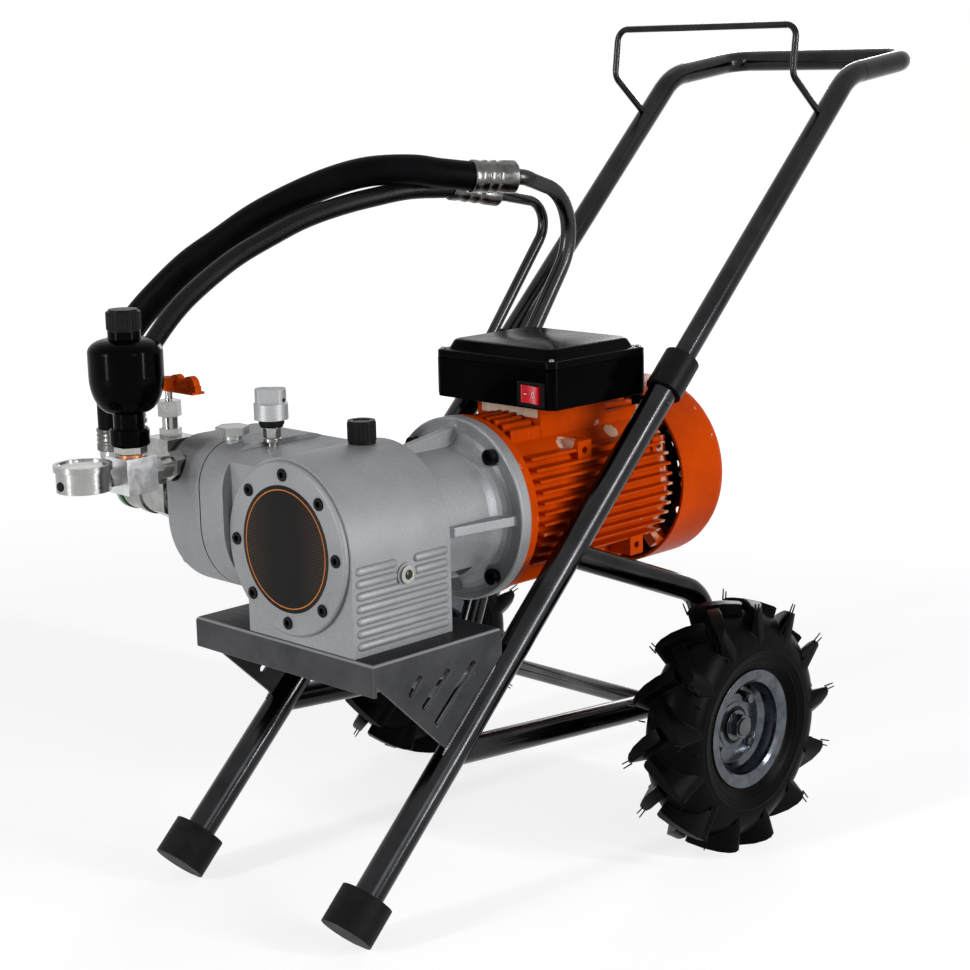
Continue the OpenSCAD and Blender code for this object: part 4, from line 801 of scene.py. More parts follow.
EVEN_SCRATCHES = (300.0, 300.0, 300.0)
BADGE_CENTRE = cart(17.7, 40.0, 385.0)
MOTOR_PATCHES = (((0.1364, -0.0468, 0.449), 0.011), ((0.1326, 0.0348, 0.4494), 0.01))
FINISHES: dict[Slot, Finish] = {
    Slot.CHROME: ChromeTube("dark_plated_tube"),
    Slot.RUBBER: Moulding("foot_moulding", (0.005, 0.005, 0.0055), (0.024, 0.024, 0.026)),
    Slot.PLASTIC: Moulding("satin_plastic", (0.005, 0.005, 0.0055), (0.018, 0.018, 0.019), 0.36, 1400.0),
    Slot.TYRE: Moulding("tyre_compound", (0.0014, 0.0014, 0.0016), (0.006, 0.006, 0.0064), 0.34, 420.0,
                        0.0004, 0.03, 0.0014),
    Slot.ZINC: MachinedMetal("blue_zinc", (0.105, 0.115, 0.13), (0.045, 0.051, 0.06), 0.17,
                             (25.0, 400.0, 400.0)),
    Slot.STEEL: MachinedMetal("machined_steel", (0.3, 0.3, 0.31), (0.13, 0.13, 0.14)),
    Slot.TRAY: SheetPaint("folded_sheet"),
    Slot.CASTING: CastPaint("cast_paint"),
    Slot.BARE_CASTING: CastPaint("cast_skin", (0.3, 0.308, 0.322), (0.21, 0.216, 0.228), (0.55, 0.56, 0.58),
                                 0.35, 0.38, 800.0, 0.00035, 0.0016, 0.6, 0.25),
    # On the black screws the lightened edges also paint the highlight round their rims.
    Slot.SCREW: MachinedMetal("black_oxide", (0.012, 0.012, 0.013), (0.004, 0.004, 0.0045), 0.34, wear=0.35),
    Slot.BADGE: RingedBadge("badge_face", tuple(BADGE_CENTRE)),
    Slot.NICKEL: MachinedMetal("nickel_fitting", (0.4, 0.392, 0.375), (0.28, 0.275, 0.262), 0.2),
    Slot.KNOB: CastPaint("blasted_aluminium", (0.42, 0.425, 0.43), (0.3, 0.305, 0.31), (0.66, 0.66, 0.67),
                         0.5, 0.4, 900.0, 0.0002, 0.001, 0.7, 0.3),
    Slot.SEAL: Moulding("seal_rubber", (0.01, 0.14, 0.03), (0.03, 0.2, 0.06), 0.4),
    Slot.STAINLESS: MachinedMetal("stainless_fitting", (0.34, 0.336, 0.325), (0.22, 0.218, 0.21), 0.17),
    Slot.COPPER: MachinedMetal("soft_copper", (0.6, 0.24, 0.1), (0.38, 0.14, 0.07), 0.3),
    Slot.ENAMEL: GlossEnamel("black_enamel"),
    Slot.DIAL: Lacquer("dial_lacquer"),
    Slot.NEEDLE: Lacquer("needle_lacquer", (0.012, 0.012, 0.012), (0.03, 0.03, 0.03), 0.35),
    Slot.GLASS: ClearGlass("clear_glass"),
    Slot.LEVER: OrangeCasting("lever_enamel", (0.78, 0.1, 0.003), (0.58, 0.06, 0.002), chips=False),
    Slot.ORANGE: OrangeCasting("motor_enamel", (0.6, 0.06, 0.0006), (0.43, 0.04, 0.0005),
                               patches=MOTOR_PATCHES),
    Slot.WINDING: Winding("stator_winding"),
    Slot.DIAPHRAGM: Moulding("diaphragm_compound", (0.012, 0.012, 0.0125)),
    Slot.ROCKER: Lacquer("rocker_lens", (0.6, 0.006, 0.016), (0.42, 0.003, 0.01), 0.18, 0.1),
    Slot.HOSE: HoseRubber("smooth_hose", (0.0014, 0.0014, 0.0017)),
}
NODE_FINISHES: dict[str, Finish] = {
    "pickup_tubes": ChromeTube("plated_pipe", (0.045, 0.045, 0.046), 0.24),
    "wheel_bearings": Moulding("bearing_shield", (0.006, 0.006, 0.006), (0.02, 0.018, 0.016), 0.3),
    "manifold_block": MachinedMetal("milled_block", (0.66, 0.665, 0.67), (0.5, 0.505, 0.51), 0.36,
                                    (900.0, 60.0, 60.0)),
    "gauge_case": MachinedMetal("spun_case", (0.33, 0.328, 0.322), (0.26, 0.258, 0.253), 0.2,
                                (20.0, 20.0, 1800.0)),
    "filler_plug": MachinedMetal("plain_plug", (0.33, 0.33, 0.325), (0.24, 0.24, 0.236), 0.3),
    "axle": ChromeTube("plated_axle", (0.12, 0.12, 0.125), 0.2),
}


def placed(name: str, data: bpy.types.ID) -> Piece:
    """Makes an object from its data and links it to the scene.

    Args:
        name: Name of the object.
        data: Its mesh, curve, lamp or camera.

    Returns:
        The object, at the origin.
    """
    piece = bpy.data.objects.new(name, data)
    bpy.context.scene.collection.objects.link(piece)
    return piece


def smoothed(mesh: bpy.types.Mesh, sharp_degrees: float) -> None:
    """Shades a mesh smoothly, apart from the edges that turn more than so many degrees."""
    mesh.shade_smooth()
    mesh.set_sharp_from_angle(angle=math.radians(sharp_degrees))


def circle(centre: Vector, heading: Vector, u: Vector, radius: float, steps: int) -> list[Vector]:
    """Makes the points of a circle.

    Args:
        centre: Middle of the circle.
        heading: Direction square to the circle, of length 1.
        u: Direction of the first point, of length 1.
        radius: Radius in metres.
        steps: How many points it has.

    Returns:
        The points in order.
    """
    v = heading.cross(u)
    turns = (2.0 * math.pi * k / steps for k in range(steps))
    return [centre + (u * math.cos(t) + v * math.sin(t)) * radius for t in turns]


class Mesher:
    """Gathers vertices and faces of one piece and turns them into an object."""

    def __init__(self) -> None:
        """Starts an empty mesh."""
        self.points: list[Vector] = []
        self.faces: list[tuple[int, ...]] = []

    def loft(self, rings: Sequence[Sequence[Vector]], closed_ends: bool = True) -> None:
        """Joins rings of equal length with quads.

        Args:
            rings: Rings of points, all in the same order.
            closed_ends: Whether the first and last rings are capped.
        """
        base, count = len(self.points), len(rings[0])
        for ring in rings:
            self.points.extend(ring)
        for i in range(len(rings) - 1):
            for k in range(count):
                a, b = base + i * count + k, base + i * count + (k + 1) % count
                self.faces.append((a, b, b + count, a + count))
        if closed_ends:
            last = base + (len(rings) - 1) * count
            self.faces.append(tuple(reversed(range(base, base + count))))
            self.faces.append(tuple(range(last, last + count)))

    def lathe(self, origin: Vector, axis: Vector, profile: Profile, steps: int = 48,
              closed_ends: bool = True) -> None:
        """Turns a profile of (radius, distance) in millimetres about an axis.

        Args:
            origin: Start of the axis, in metres.
            axis: Direction of the axis.
            profile: Radii and distances along the axis.
            steps: Sides of the round.
            closed_ends: Whether the first and last rings are capped.
        """
        forward = axis.normalized()
        u = forward.orthogonal().normalized()
        self.loft([circle(origin + forward * distance * MM, forward, u, radius * MM, steps)
                   for radius, distance in profile], closed_ends)

    def sweep(self, path: Sequence[Vector], radius: Callable[[float], float], steps: int = 8) -> None:
        """Sweeps a round section along a path and caps its ends.

        Args:
            path: Points in metres.
            radius: Radius in metres at each share of the path.
            steps: Sides of the round.
        """
        last = len(path) - 1
        u = (path[1] - path[0]).orthogonal().normalized()
        rings = []
        for i, point in enumerate(path):
            heading = (path[min(i + 1, last)] - path[max(i - 1, 0)]).normalized()
            u = (u - heading * u.dot(heading)).normalized()
            rings.append(circle(point, heading, u, radius(i / last), steps))
        self.loft(rings)

    def made(self, name: str, sharp_degrees: float = 32.0) -> Piece:
        """Makes the object from what was gathered.

        Args:
            name: Name of the piece.
            sharp_degrees: Edges that turn more than this stay sharp.

        Returns:
            The linked object, at the origin.
        """
        mesh = bpy.data.meshes.new(name)
        mesh.from_pydata([tuple(p) for p in self.points], [], self.faces)
        mesh.validate()
        work = bmesh.new()
        work.from_mesh(mesh)
        bmesh.ops.recalc_face_normals(work, faces=work.faces)
        work.to_mesh(mesh)
        work.free()
        smoothed(mesh, sharp_degrees)
        return placed(name, mesh)


def rounded_outline(centre: Point, half: Point, radius: float, z: float,
                    corner_steps: int = 6) -> list[Vector]:
    """Makes the points of a rectangle with round corners, in the cart's millimetres.

    Args:
        centre: Middle in X and Y.
        half: Half sizes in X and Y.
        radius: Radius of the corners.
        z: Height of the outline.
        corner_steps: Steps round each corner.

    Returns:
        The points in metres, anticlockwise from above.
    """
    points = []
    for quarter, (sx, sy) in enumerate(((1, 1), (-1, 1), (-1, -1), (1, -1))):
        for i in range(corner_steps + 1):
            t = math.radians(90.0 * (quarter + i / corner_steps))
            points.append(cart(centre[0] + sx * (half[0] - radius) + radius * math.cos(t),
                               centre[1] + sy * (half[1] - radius) + radius * math.sin(t), z))
    return points


def smooth_path(points: Sequence[Vector], steps: int) -> list[Vector]:
    """Runs a smooth curve through points.

    Args:
        points: Points that the curve passes.
        steps: Steps between two points.

    Returns:
        The curve's points, ends included.
    """
    ends = [points[0] * 2 - points[1], *points, points[-1] * 2 - points[-2]]
    curve = []
    for i in range(1, len(ends) - 2):
        a, b, c, d = ends[i - 1:i + 3]
        for k in range(steps):
            t = k / steps
            curve.append(0.5 * (2 * b + (c - a) * t + (2 * a - 5 * b + 4 * c - d) * t * t
                                + (3 * b - a - 3 * c + d) * t ** 3))
    return [*curve, points[-1]]


def softened(node: Piece, name: str, rules: Sequence[tuple[EdgeTest, float, int]] = (),
             sharp_degrees: float = 28.0) -> Piece:
    """Copies a node's mesh and rounds the edges that its maker would round.

    Args:
        node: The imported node.
        name: Name of the new piece.
        rules: Test of an edge, radius in millimetres and steps, in order.
        sharp_degrees: Edges that turn more than this stay sharp.

    Returns:
        The linked piece.
    """
    work = bmesh.new()
    work.from_mesh(node.data)
    bmesh.ops.remove_doubles(work, verts=work.verts, dist=1e-6)
    bmesh.ops.dissolve_limit(work, angle_limit=math.radians(0.4), verts=work.verts, edges=work.edges)
    for test, radius, steps in rules:
        edges = [edge for edge in work.edges if edge.is_manifold and test(edge)]
        bmesh.ops.bevel(work, geom=edges, offset=radius * MM, offset_type="OFFSET", segments=steps,
                        profile=0.5, affect="EDGES", clamp_overlap=True)
    mesh = bpy.data.meshes.new(name)
    work.to_mesh(mesh)
    work.free()
    smoothed(mesh, sharp_degrees)
    return placed(name, mesh)


def bored(piece: Piece, cutter: Piece) -> Piece:
    """Cuts one piece out of another and removes the cutter.

    Args:
        piece: The piece that is cut.
        cutter: The shape of the hole.

    Returns:
        The cut piece.
    """
    cut = piece.modifiers.new("cut", "BOOLEAN")
    cut.operation, cut.solver, cut.object = "DIFFERENCE", "EXACT", cutter
    bpy.context.view_layer.update()
    ready = piece.evaluated_get(bpy.context.evaluated_depsgraph_get())
    mesh = bpy.data.meshes.new_from_object(ready)
    piece.modifiers.clear()
    piece.data = mesh
    bpy.data.objects.remove(cutter)
    return piece


def near(a: float, b: float) -> bool:
    """Tells whether two lengths in metres are the same to a fiftieth of a millimetre."""
    return abs(a - b) < 2e-5


def is_upright(edge: Edge) -> bool:
    """Tells whether an edge runs along Z."""
    a, b = (v.co for v in edge.verts)
    return near(a.x, b.x) and near(a.y, b.y)


def at_height(edge: Edge, height: float) -> bool:
    """Tells whether an edge lies at one height, in millimetres."""
    return all(near(v.co.z, height * MM) for v in edge.verts)


def turn_of(edge: Edge) -> float:
    """Finds how far an edge turns, in degrees, with hollows below 0."""
    return math.degrees(edge.calc_face_angle_signed(0.0))


class SubAssembly:
    """Base of the sub-assemblies: dresses its pieces, lets them ride and reports them."""

    def fit(self, piece: Piece, body: Body, slot: Slot, finish: Optional[Finish] = None,
            replaced: Iterable[str] = ()) -> None:
        """Dresses a piece and sets it on its body.

        Args:
            piece: The new object.
            body: Body that it rides on.
            slot: Record slot of its finish.
            finish: Finish, where it isn't the slot's own.
            replaced: CAD nodes that it stands for.
        """
        piece.data.materials.clear()
        piece.data.materials.append((finish or FINISHES[slot]).material())
        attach(piece, body.value)
        if replaced:
            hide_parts(*replaced)
        LOG.info("%s: %s on %s", type(self).__name__, piece.name, body.value)

    def build(self) -> None:
        """Makes the pieces; each sub-assembly has its own."""
        raise NotImplementedError


@dataclass(frozen=True)
class SoftBox:
    """One lamp: a plain rectangle of light."""

    name: str
    place: Point
    size: Point
    power: float
    target: Point = (0.0, 0.0, 0.45)

    def hang(self) -> None:
        """Hangs the lamp and points it at its target."""
        data = bpy.data.lights.new(self.name, "AREA")
        data.shape = "RECTANGLE"
        data.size, data.size_y = self.size
        data.energy = self.power
        lamp = placed(self.name, data)
        lamp.location = self.place
        way = Vector(self.target) - Vector(self.place)
        lamp.rotation_euler = way.to_track_quat("-Z", "Y").to_euler()


@dataclass
class Studio(SubAssembly):
    """Pale floor, soft lamps, world and camera."""

    floor_half: float = 14.0
    floor_tones: Point = (0.5, 0.52)
    floor_shadow: float = 0.4
    floor_glow: Point = (1.1, 3.6, 0.76, 1.0)
    eye: Point = (1.5984, -1.65305, 0.8639)
    yaw: float = 44.65
    pitch: float = 11.99
    roll: float = -1.17
    focal_pixels: float = 2010.97
    sensor: float = 36.0
    sky: Point = (0.94, 0.96, 1.0)
    world_level: float = 0.13
    lamps: Sequence[SoftBox] = (
        SoftBox("key", (3.2, -0.9, 1.25), (0.9, 1.2), 12.0),
        SoftBox("front", (-0.7, -3.3, 1.15), (1.0, 1.0), 15.0),
        SoftBox("right_strip", (3.0, 0.6, 1.0), (0.17, 2.0), 66.0, (0.2, 0.0, 0.5)),
        SoftBox("left_strip", (-0.4, -3.6, 1.0), (0.17, 2.0), 62.0, (0.0, 0.0, 0.5)),
        SoftBox("top", (-0.6, 1.0, 3.2), (1.4, 0.6), 2.0),
        SoftBox("rear", (-1.6, 3.2, 1.3), (1.2, 1.2), 34.0))

    def camera(self) -> None:
        """Sets the camera where the sprayer is seen from."""
        yaw, pitch, roll = (math.radians(v) for v in (self.yaw, self.pitch, self.roll))
        right = Vector((math.cos(yaw), math.sin(yaw), 0.0))
        forward = Vector((-right.y * math.cos(pitch), right.x * math.cos(pitch), -math.sin(pitch)))
        up = right.cross(forward)
        across = right * math.cos(roll) + up * math.sin(roll)
        above = up * math.cos(roll) - right * math.sin(roll)
        data = bpy.data.cameras.new("camera")
        data.sensor_width = self.sensor
        data.lens = self.focal_pixels * self.sensor / IMAGE_SIDE
        data.clip_end = 100.0
        camera = placed("camera", data)
        turn = Matrix((across, above, -forward)).transposed().to_4x4()
        camera.matrix_world = Matrix.Translation(Vector(self.eye)) @ turn
        bpy.context.scene.camera = camera

    def world(self) -> None:
        """Makes a white backdrop that lights the sprayer softly."""
        world = bpy.data.worlds.new("studio")
        bpy.context.scene.world = world
        graph = Graph(world, "ShaderNodeOutputWorld")
        light = graph.node("ShaderNodeBackground", {"Color": self.sky, "Strength": self.world_level})
        white = graph.node("ShaderNodeBackground", {"Color": (1.0, 1.0, 1.0), "Strength": 1.0})
        graph.end_in_mix(light, white)

    def floor(self) -> None:
        """Lays a white floor that keeps the sprayer's shadow."""
        mesher = Mesher()
        mesher.points.extend(Vector((x * self.floor_half, y * self.floor_half, 0.0))
                             for x, y in ((-1, -1), (1, -1), (1, 1), (-1, 1)))
        mesher.faces.append((0, 1, 2, 3))
        floor = mesher.made("floor")
        graph = Graph(bpy.data.materials.new("floor_white"))
        dark, pale = ((tone, tone, tone) for tone in self.floor_tones)
        tint = graph.blend(graph.noise(0.8, 2.0), dark, pale)
        plain = graph.node("ShaderNodeBsdfDiffuse", {"Color": tint})
        away = graph.vector("LENGTH", graph.place)["Value"]
        lit = graph.node("ShaderNodeEmission", {"Strength": graph.remap(away, *self.floor_glow)})
        shadow = graph.node("ShaderNodeBsdfDiffuse", {"Color": (self.floor_shadow,) * 3})
        shown = graph.node("ShaderNodeAddShader", {0: lit.outputs[0], 1: shadow.outputs[0]})
        graph.end_in_mix(plain, shown)
        floor.data.materials.append(graph.owner)

    def build(self) -> None:
        """Sets up the camera, world, floor and lamps."""
        bpy.context.scene.view_settings.view_transform = "Standard"
        self.camera()
        self.world()
        self.floor()
        for lamp in self.lamps:
            lamp.hang()


@dataclass
class HoseSet(SubAssembly):
    """The two free hoses, from their ferrules at the pick-up tubes to those at the pump's elbows."""

    suction_d: float = 34.0
    return_d: float = 22.0
    suction_route: Sequence[Point] = (
        (-98, 431, 732), (-114, 397, 737), (-131, 370, 742), (-161, 333, 741), (-190, 302, 731),
        (-222, 269, 713), (-254, 239, 691), (-282, 211, 665), (-307, 185, 641), (-330, 162, 612),
        (-351, 141, 581), (-367, 123, 547), (-376, 116, 515), (-377.3, 116, 488), (-377.3, 116, 454))
    return_route: Sequence[Point] = (
        (-132, 431, 717), (-146, 381, 718), (-160, 338, 712), (-173, 297, 704), (-187, 256, 692),
        (-200, 221, 676), (-215, 181, 655), (-226, 144, 630), (-236, 115, 605), (-245, 90, 575),
        (-252, 70, 544), (-254.3, 60, 523), (-254.3, 60, 501))

    def hose(self, node: str, route: Sequence[Point], diameter: float, finish: Finish) -> None:
        """Lays one hose along its route.

        Args:
            node: CAD node that it stands for.
            route: Points in the cart's millimetres.
            diameter: Outer diameter in millimetres.
            finish: Finish of its cover.
        """
        name = f"{node}_cover"
        data = bpy.data.curves.new(name, "CURVE")
        data.dimensions = "3D"
        data.bevel_depth = diameter * MM / 2.0
        data.bevel_resolution = 8
        data.use_fill_caps = True
        line = data.splines.new("POLY")
        points = smooth_path([cart(*p) for p in route], 5)
        line.points.add(len(points) - 1)
        for spot, point in zip(line.points, points):
            spot.co = (*point, 1.0)
        line.use_smooth = True
        piece = placed(name, data)
        self.fit(piece, Body.ROOT, Slot.HOSE, finish, (node,))

    def build(self) -> None:
        """Lays both hoses."""
        wrapped = HoseRubber("wrapped_hose", (0.002, 0.002, 0.0023), 520.0, 0.28, 0.09)
        self.hose("suction_hose", self.suction_route, self.suction_d, FINISHES[Slot.HOSE])
        self.hose("return_hose", self.return_route, self.return_d, wrapped)


@dataclass
class HoseFittings(SubAssembly):
    """Four crimped ferrules, each with its two ends, outer radius and neck radius."""

    ferrules: Sequence[tuple[Point, Point, float, float]] = (
        ((-78, 482, 729), (-98, 431, 732), 19.0, 17.6),
        ((-120, 497, 706), (-132, 431, 717), 13.5, 11.8),
        ((-377.3, 116, 428), (-377.3, 116, 454), 19.5, 17.9),
        ((-254.3, 60, 481), (-254.3, 60, 501), 13.5, 11.8))
    crimps: int = 3
    crimp_depth: float = 0.9
    plain_share: float = 0.3
    crimped_share: float = 0.62

    def profile(self, length: float, outer: float, neck: float) -> list[tuple[float, float]]:
        """Draws a ferrule's profile with its pressed grooves.

        Args:
            length: Length of the ferrule in millimetres.
            outer: Its outer radius.
            neck: Radius at its ends.

        Returns:
            Radii and distances along it.
        """
        points = [(neck, 0.0), (outer - 0.5, 0.4), (outer, 1.4), (outer, length * (self.plain_share - 0.02))]
        pitch = length * self.crimped_share / self.crimps
        for i in range(self.crimps):
            start = length * self.plain_share + pitch * i
            points += [(outer - self.crimp_depth, start + pitch * 0.22),
                       (outer - self.crimp_depth, start + pitch * 0.6), (outer, start + pitch * 0.82)]
        return [*points, (outer, length - 1.2), (outer - 0.6, length - 0.2), (neck, length)]

    def build(self) -> None:
        """Turns the ferrules."""
        mesher = Mesher()
        for start, end, outer, neck in self.ferrules:
            way = cart(*end) - cart(*start)
            mesher.lathe(cart(*start), way, self.profile(way.length / MM, outer, neck), 40)
        steel = MachinedMetal("crimped_steel", (0.12, 0.12, 0.117), (0.05, 0.05, 0.048), 0.22, EVEN_SCRATCHES)
        self.fit(mesher.made("crimped_ferrules", 24.0), Body.ROOT, Slot.STAINLESS, steel, ("hose_ferrules",))


@dataclass
class TerminalBox(SubAssembly):
    """Black switch box with round corners, its bevelled lid, lid screws and rocker marks."""

    nodes: Mapping[str, Piece]
    low: Point = (-72.3, 341.0)
    high: Point = (107.7, 499.0)
    foot: float = 493.0
    foot_round: float = 3.5
    foot_turn: float = 20.0
    rim: float = 537.0
    lip: float = 546.0
    top: float = 557.0
    corner: float = 11.0
    panel: float = 8.6
    screw_inset: float = 7.6
    screw: Profile = ((3.1, 0.0), (3.1, 2.0), (2.6, 2.7), (1.5, 2.9), (1.3, 1.9), (0.01, 1.9))
    switch: Point = (77.7, 345.0, 509.0)
    rocker_tilt: float = 8.0
    dish: Point = (51.5, 45.0)
    mark_height: float = 0.25
    mark_radii: Point = (0.45, 0.42)
    on_stroke: Point = (-8.8, -7.4, -6.0, -4.6)
    off_ring: Point = (6.4, 2.6, 3.1)

    def at_corner(self, edge: Edge) -> bool:
        """Tells whether an edge is one of the box's four upright corners.

        Args:
            edge: Edge of the box.

        Returns:
            Whether it is a corner.
        """
        spot = edge.verts[0].co
        low, high = cart(*self.low, 0.0), cart(*self.high, 0.0)
        return (is_upright(edge) and (near(spot.x, low.x) or near(spot.x, high.x))
                and (near(spot.y, low.y) or near(spot.y, high.y)))

    def at_foot(self, edge: Edge) -> bool:
        """Tells whether an edge is a convex one round the bottom."""
        return at_height(edge, self.foot) and turn_of(edge) > self.foot_turn

    def shell(self) -> None:
        """Makes the box's wall and floor with moulded corners."""
        piece = softened(self.nodes["terminal_box"], "box_shell",
                         [(self.at_corner, self.corner, 8), (self.at_foot, self.foot_round, 4)])
        gloss = GlossEnamel("box_gloss", ripple=60.0, shine=0.012)
        self.fit(piece, Body.ROOT, Slot.ENAMEL, gloss, ("terminal_box",))

    def lid(self) -> None:
        """Lofts the lid: a flat lip under a raised panel with steep chamfers and round corners."""
        centre = [(low + high) / 2.0 for low, high in zip(self.low, self.high)]
        half = [(high - low) / 2.0 for low, high in zip(self.low, self.high)]
        steps = ((self.rim, 0.9), (self.rim + 0.9, 0.0), (self.lip - 2.0, 0.0), (self.lip - 0.6, 0.6),
                 (self.lip, 2.0), (self.lip, self.panel), (self.lip + 0.8, self.panel + 0.7),
                 (self.top - 2.6, self.panel + 4.0), (self.top - 0.8, self.panel + 5.4),
                 (self.top, self.panel + 7.6))
        mesher = Mesher()
        mesher.loft([rounded_outline(centre, [h - inset for h in half], self.corner, z)
                     for z, inset in steps])
        gloss = GlossEnamel("lid_gloss", (0.0014, 0.0014, 0.0016), rough=0.2, ripple=420.0, shine=0.02)
        self.fit(mesher.made("box_lid_panel", 26.0), Body.ROOT, Slot.ENAMEL, gloss, ("box_lid",))

    def screws(self) -> None:
        """Sets a small domed screw in each corner of the lip."""
        mesher = Mesher()
        for x in (self.low[0] + self.screw_inset, self.high[0] - self.screw_inset):
            for y in (self.low[1] + self.screw_inset, self.high[1] - self.screw_inset):
                mesher.lathe(cart(x, y, self.lip - 1.0), UP, self.screw, 20)
        self.fit(mesher.made("lid_screws"), Body.ROOT, Slot.STEEL)

    def rocker_point(self, x: float, z: float) -> Vector:
        """Finds a point just above the rocker's dished face.

        Args:
            x: Millimetres to the side of the rocker's middle.
            z: Millimetres above it.

        Returns:
            The point in metres.
        """
        turn = Matrix.Rotation(math.radians(-self.rocker_tilt), 3, "Z")
        centre, reach = self.dish
        spot = turn @ Vector((x, math.sqrt(reach * reach - x * x) - centre - self.mark_height, z))
        return cart(*(Vector(self.switch) + spot))

    def rocker_marks(self) -> None:
        """Puts the stroke of on and the ring of off on the rocker."""
        middle, wide, high = self.off_ring
        turns = (2.0 * math.pi * i / 24 for i in range(25))
        ring = [self.rocker_point(middle + wide * math.cos(t), high * math.sin(t)) for t in turns]
        stroke = [self.rocker_point(x, 0.0) for x in self.on_stroke]
        mesher = Mesher()
        for path, radius in zip((stroke, ring), self.mark_radii):
            mesher.sweep(path, lambda share: radius * MM)
        self.fit(mesher.made("rocker_marks"), Body.SWITCH, Slot.DIAL)

    def build(self) -> None:
        """Makes the shell, lid, screws and marks."""
        self.shell()
        self.lid()
        self.screws()
        self.rocker_marks()


class LugSection(NamedTuple):
    """One section across a tyre's lug, with lengths in millimetres.

    Attributes:
        across: How far its top is from the middle of the tread.
        share: Its share of the lug's lean.
        width: Factor on the lug's width.
        top: Radius of its top.
        low: Radius of its foot.
        low_across: How far its foot is from the middle of the tread.
        spread: Factor on the foot's width.
    """

    across: float
    share: float
    width: float
    top: float
    low: float
    low_across: float
    spread: float


@dataclass
class Tyre(SubAssembly):
    """One pneumatic tyre: carcass, staggered pointed lugs, moulding whiskers and its valve."""

    side: int
    body: Body
    axle: Point = (478.0, 139.5)
    wheel_x: float = 243.0
    section: float = 35.0
    crown: float = 127.5
    bead: float = 53.0
    bead_half: float = 23.6
    wall: float = 5.0
    outer_step: float = 2.1
    outer_steps: int = 62
    ridges: Sequence[int] = (46, 54)
    ridge: float = 0.7
    lugs: int = 13
    first_lug: float = 18.0
    lean: float = 14.5
    lug_w: float = 13.0
    foot_margin: float = 3.0
    ground_gap: float = 34.0
    seed: int = 11
    pair_gap: float = 1.1
    tip_whisker: Point = (34.0, 132.0)
    tip_lean: float = 0.12
    tip_lengths: Point = (10.0, 13.5)
    wall_whisker: Point = (33.5, 106.0)
    wall_leans: Point = (0.1, 0.3)
    wall_lengths: Point = (5.0, 9.0)
    wall_scatter: Point = (-14.0, 6.0)
    wall_stray: float = 9.0
    whisker_radii: Point = (0.95, 0.7)
    valve_at: Point = (2.0, 42.0, 90.0)
    valve_lean: float = -0.25
    valve: Profile = ((4.6, 0.0), (4.6, 6.0), (3.6, 8.0), (2.7, 9.0), (2.7, 13.0), (3.6, 13.5), (3.6, 20.0),
                      (3.0, 21.5))
    sections: Sequence[LugSection] = (
        LugSection(-7.0, -0.06, 0.94, 137.4, 116.0, -7.0, 1.0),
        LugSection(-5.0, 0.02, 1.0, 138.4, 116.0, -5.0, 1.0),
        LugSection(8.0, 0.34, 1.0, 139.0, 116.0, 8.0, 1.0),
        LugSection(20.0, 0.68, 0.95, 138.4, 112.0, 19.0, 1.1),
        LugSection(29.0, 0.95, 0.7, 137.0, 104.0, 27.5, 1.5),
        LugSection(33.5, 1.1, 0.4, 135.4, 98.0, 31.0, 1.6),
        LugSection(35.5, 1.18, 0.2, 133.6, 95.0, 32.5, 1.0))

    def spot(self, across: float, radius: float, turn: float) -> Vector:
        """Finds a point of the tyre.

        Args:
            across: Millimetres outwards from the wheel's middle.
            radius: Millimetres from the axle.
            turn: Degrees round the axle from straight behind it.

        Returns:
            The point in metres.
        """
        t = math.radians(turn)
        return cart(self.side * (self.wheel_x + across), self.axle[0] + radius * math.cos(t),
                    self.axle[1] + radius * math.sin(t))

    def carcass(self, mesher: Mesher) -> None:
        """Turns the carcass with its bead, its sidewall ridges and its hollow.

        Args:
            mesher: Gathers the tyre.
        """
        middle, inner = self.crown - self.section, self.section - self.wall
        outline = []
        for i in range(-self.outer_steps, self.outer_steps + 1):
            t = math.radians(i * self.outer_step)
            reach = self.section + (self.ridge if abs(i) in self.ridges else 0.0)
            outline.append((middle + reach * math.cos(t), reach * math.sin(t)))
        rim = [(self.bead + 5.0, self.bead_half), (self.bead, self.bead_half - 2.0),
               (self.bead, self.bead_half - 5.0)]
        hollow = [(middle + inner * math.cos(t), inner * math.sin(t))
                  for t in (math.radians(a) for a in range(120, -121, -12))]
        outline += [*rim, *hollow, *((radius, -across) for radius, across in reversed(rim)), outline[0]]
        mesher.lathe(self.spot(0.0, 0.0, 0.0), OUTWARD * self.side, outline, 120, False)

    def lug(self, mesher: Mesher, half: int, start: float) -> None:
        """Lofts one lug from the middle of the tread to its pointed end on the shoulder.

        Args:
            mesher: Gathers the tyre.
            half: 1 for the outer half of the tread and -1 for the inner half.
            start: Degrees at which the lug starts.
        """
        first, last = self.sections[1], self.sections[4]
        run = (last.across - first.across, math.radians((last.share - first.share) * self.lean) * self.crown)
        long = math.hypot(*run)
        side_x, side_t = -run[1] / long, math.degrees(run[0] / long / self.crown)
        rings = []
        for section in self.sections:
            turn = start + section.share * self.lean
            reach = self.lug_w / 2.0 * section.width
            foot = self.lug_w / 2.0 * section.spread + self.foot_margin
            corners = ((section.across, section.top, reach), (section.across, section.top, -reach),
                       (section.low_across, section.low, -foot), (section.low_across, section.low, foot))
            rings.append([self.spot(half * min(x + aside * side_x, self.section), radius,
                                    turn + aside * side_t) for x, radius, aside in corners])
        mesher.loft(rings)

    def whisker(self, mesher: Mesher, start: Vector, way: Vector, long: float) -> None:
        """Grows one thin rubber whisker.

        Args:
            mesher: Gathers the whiskers.
            start: Its root in metres.
            way: Its direction.
            long: Its length in millimetres.
        """
        root, tip = self.whisker_radii
        path = [start + way.normalized() * long * MM * k for k in (-0.15, 0.3, 0.65, 1.0)]
        mesher.sweep(path, lambda share: (root + (tip - root) * share) * MM, 6)

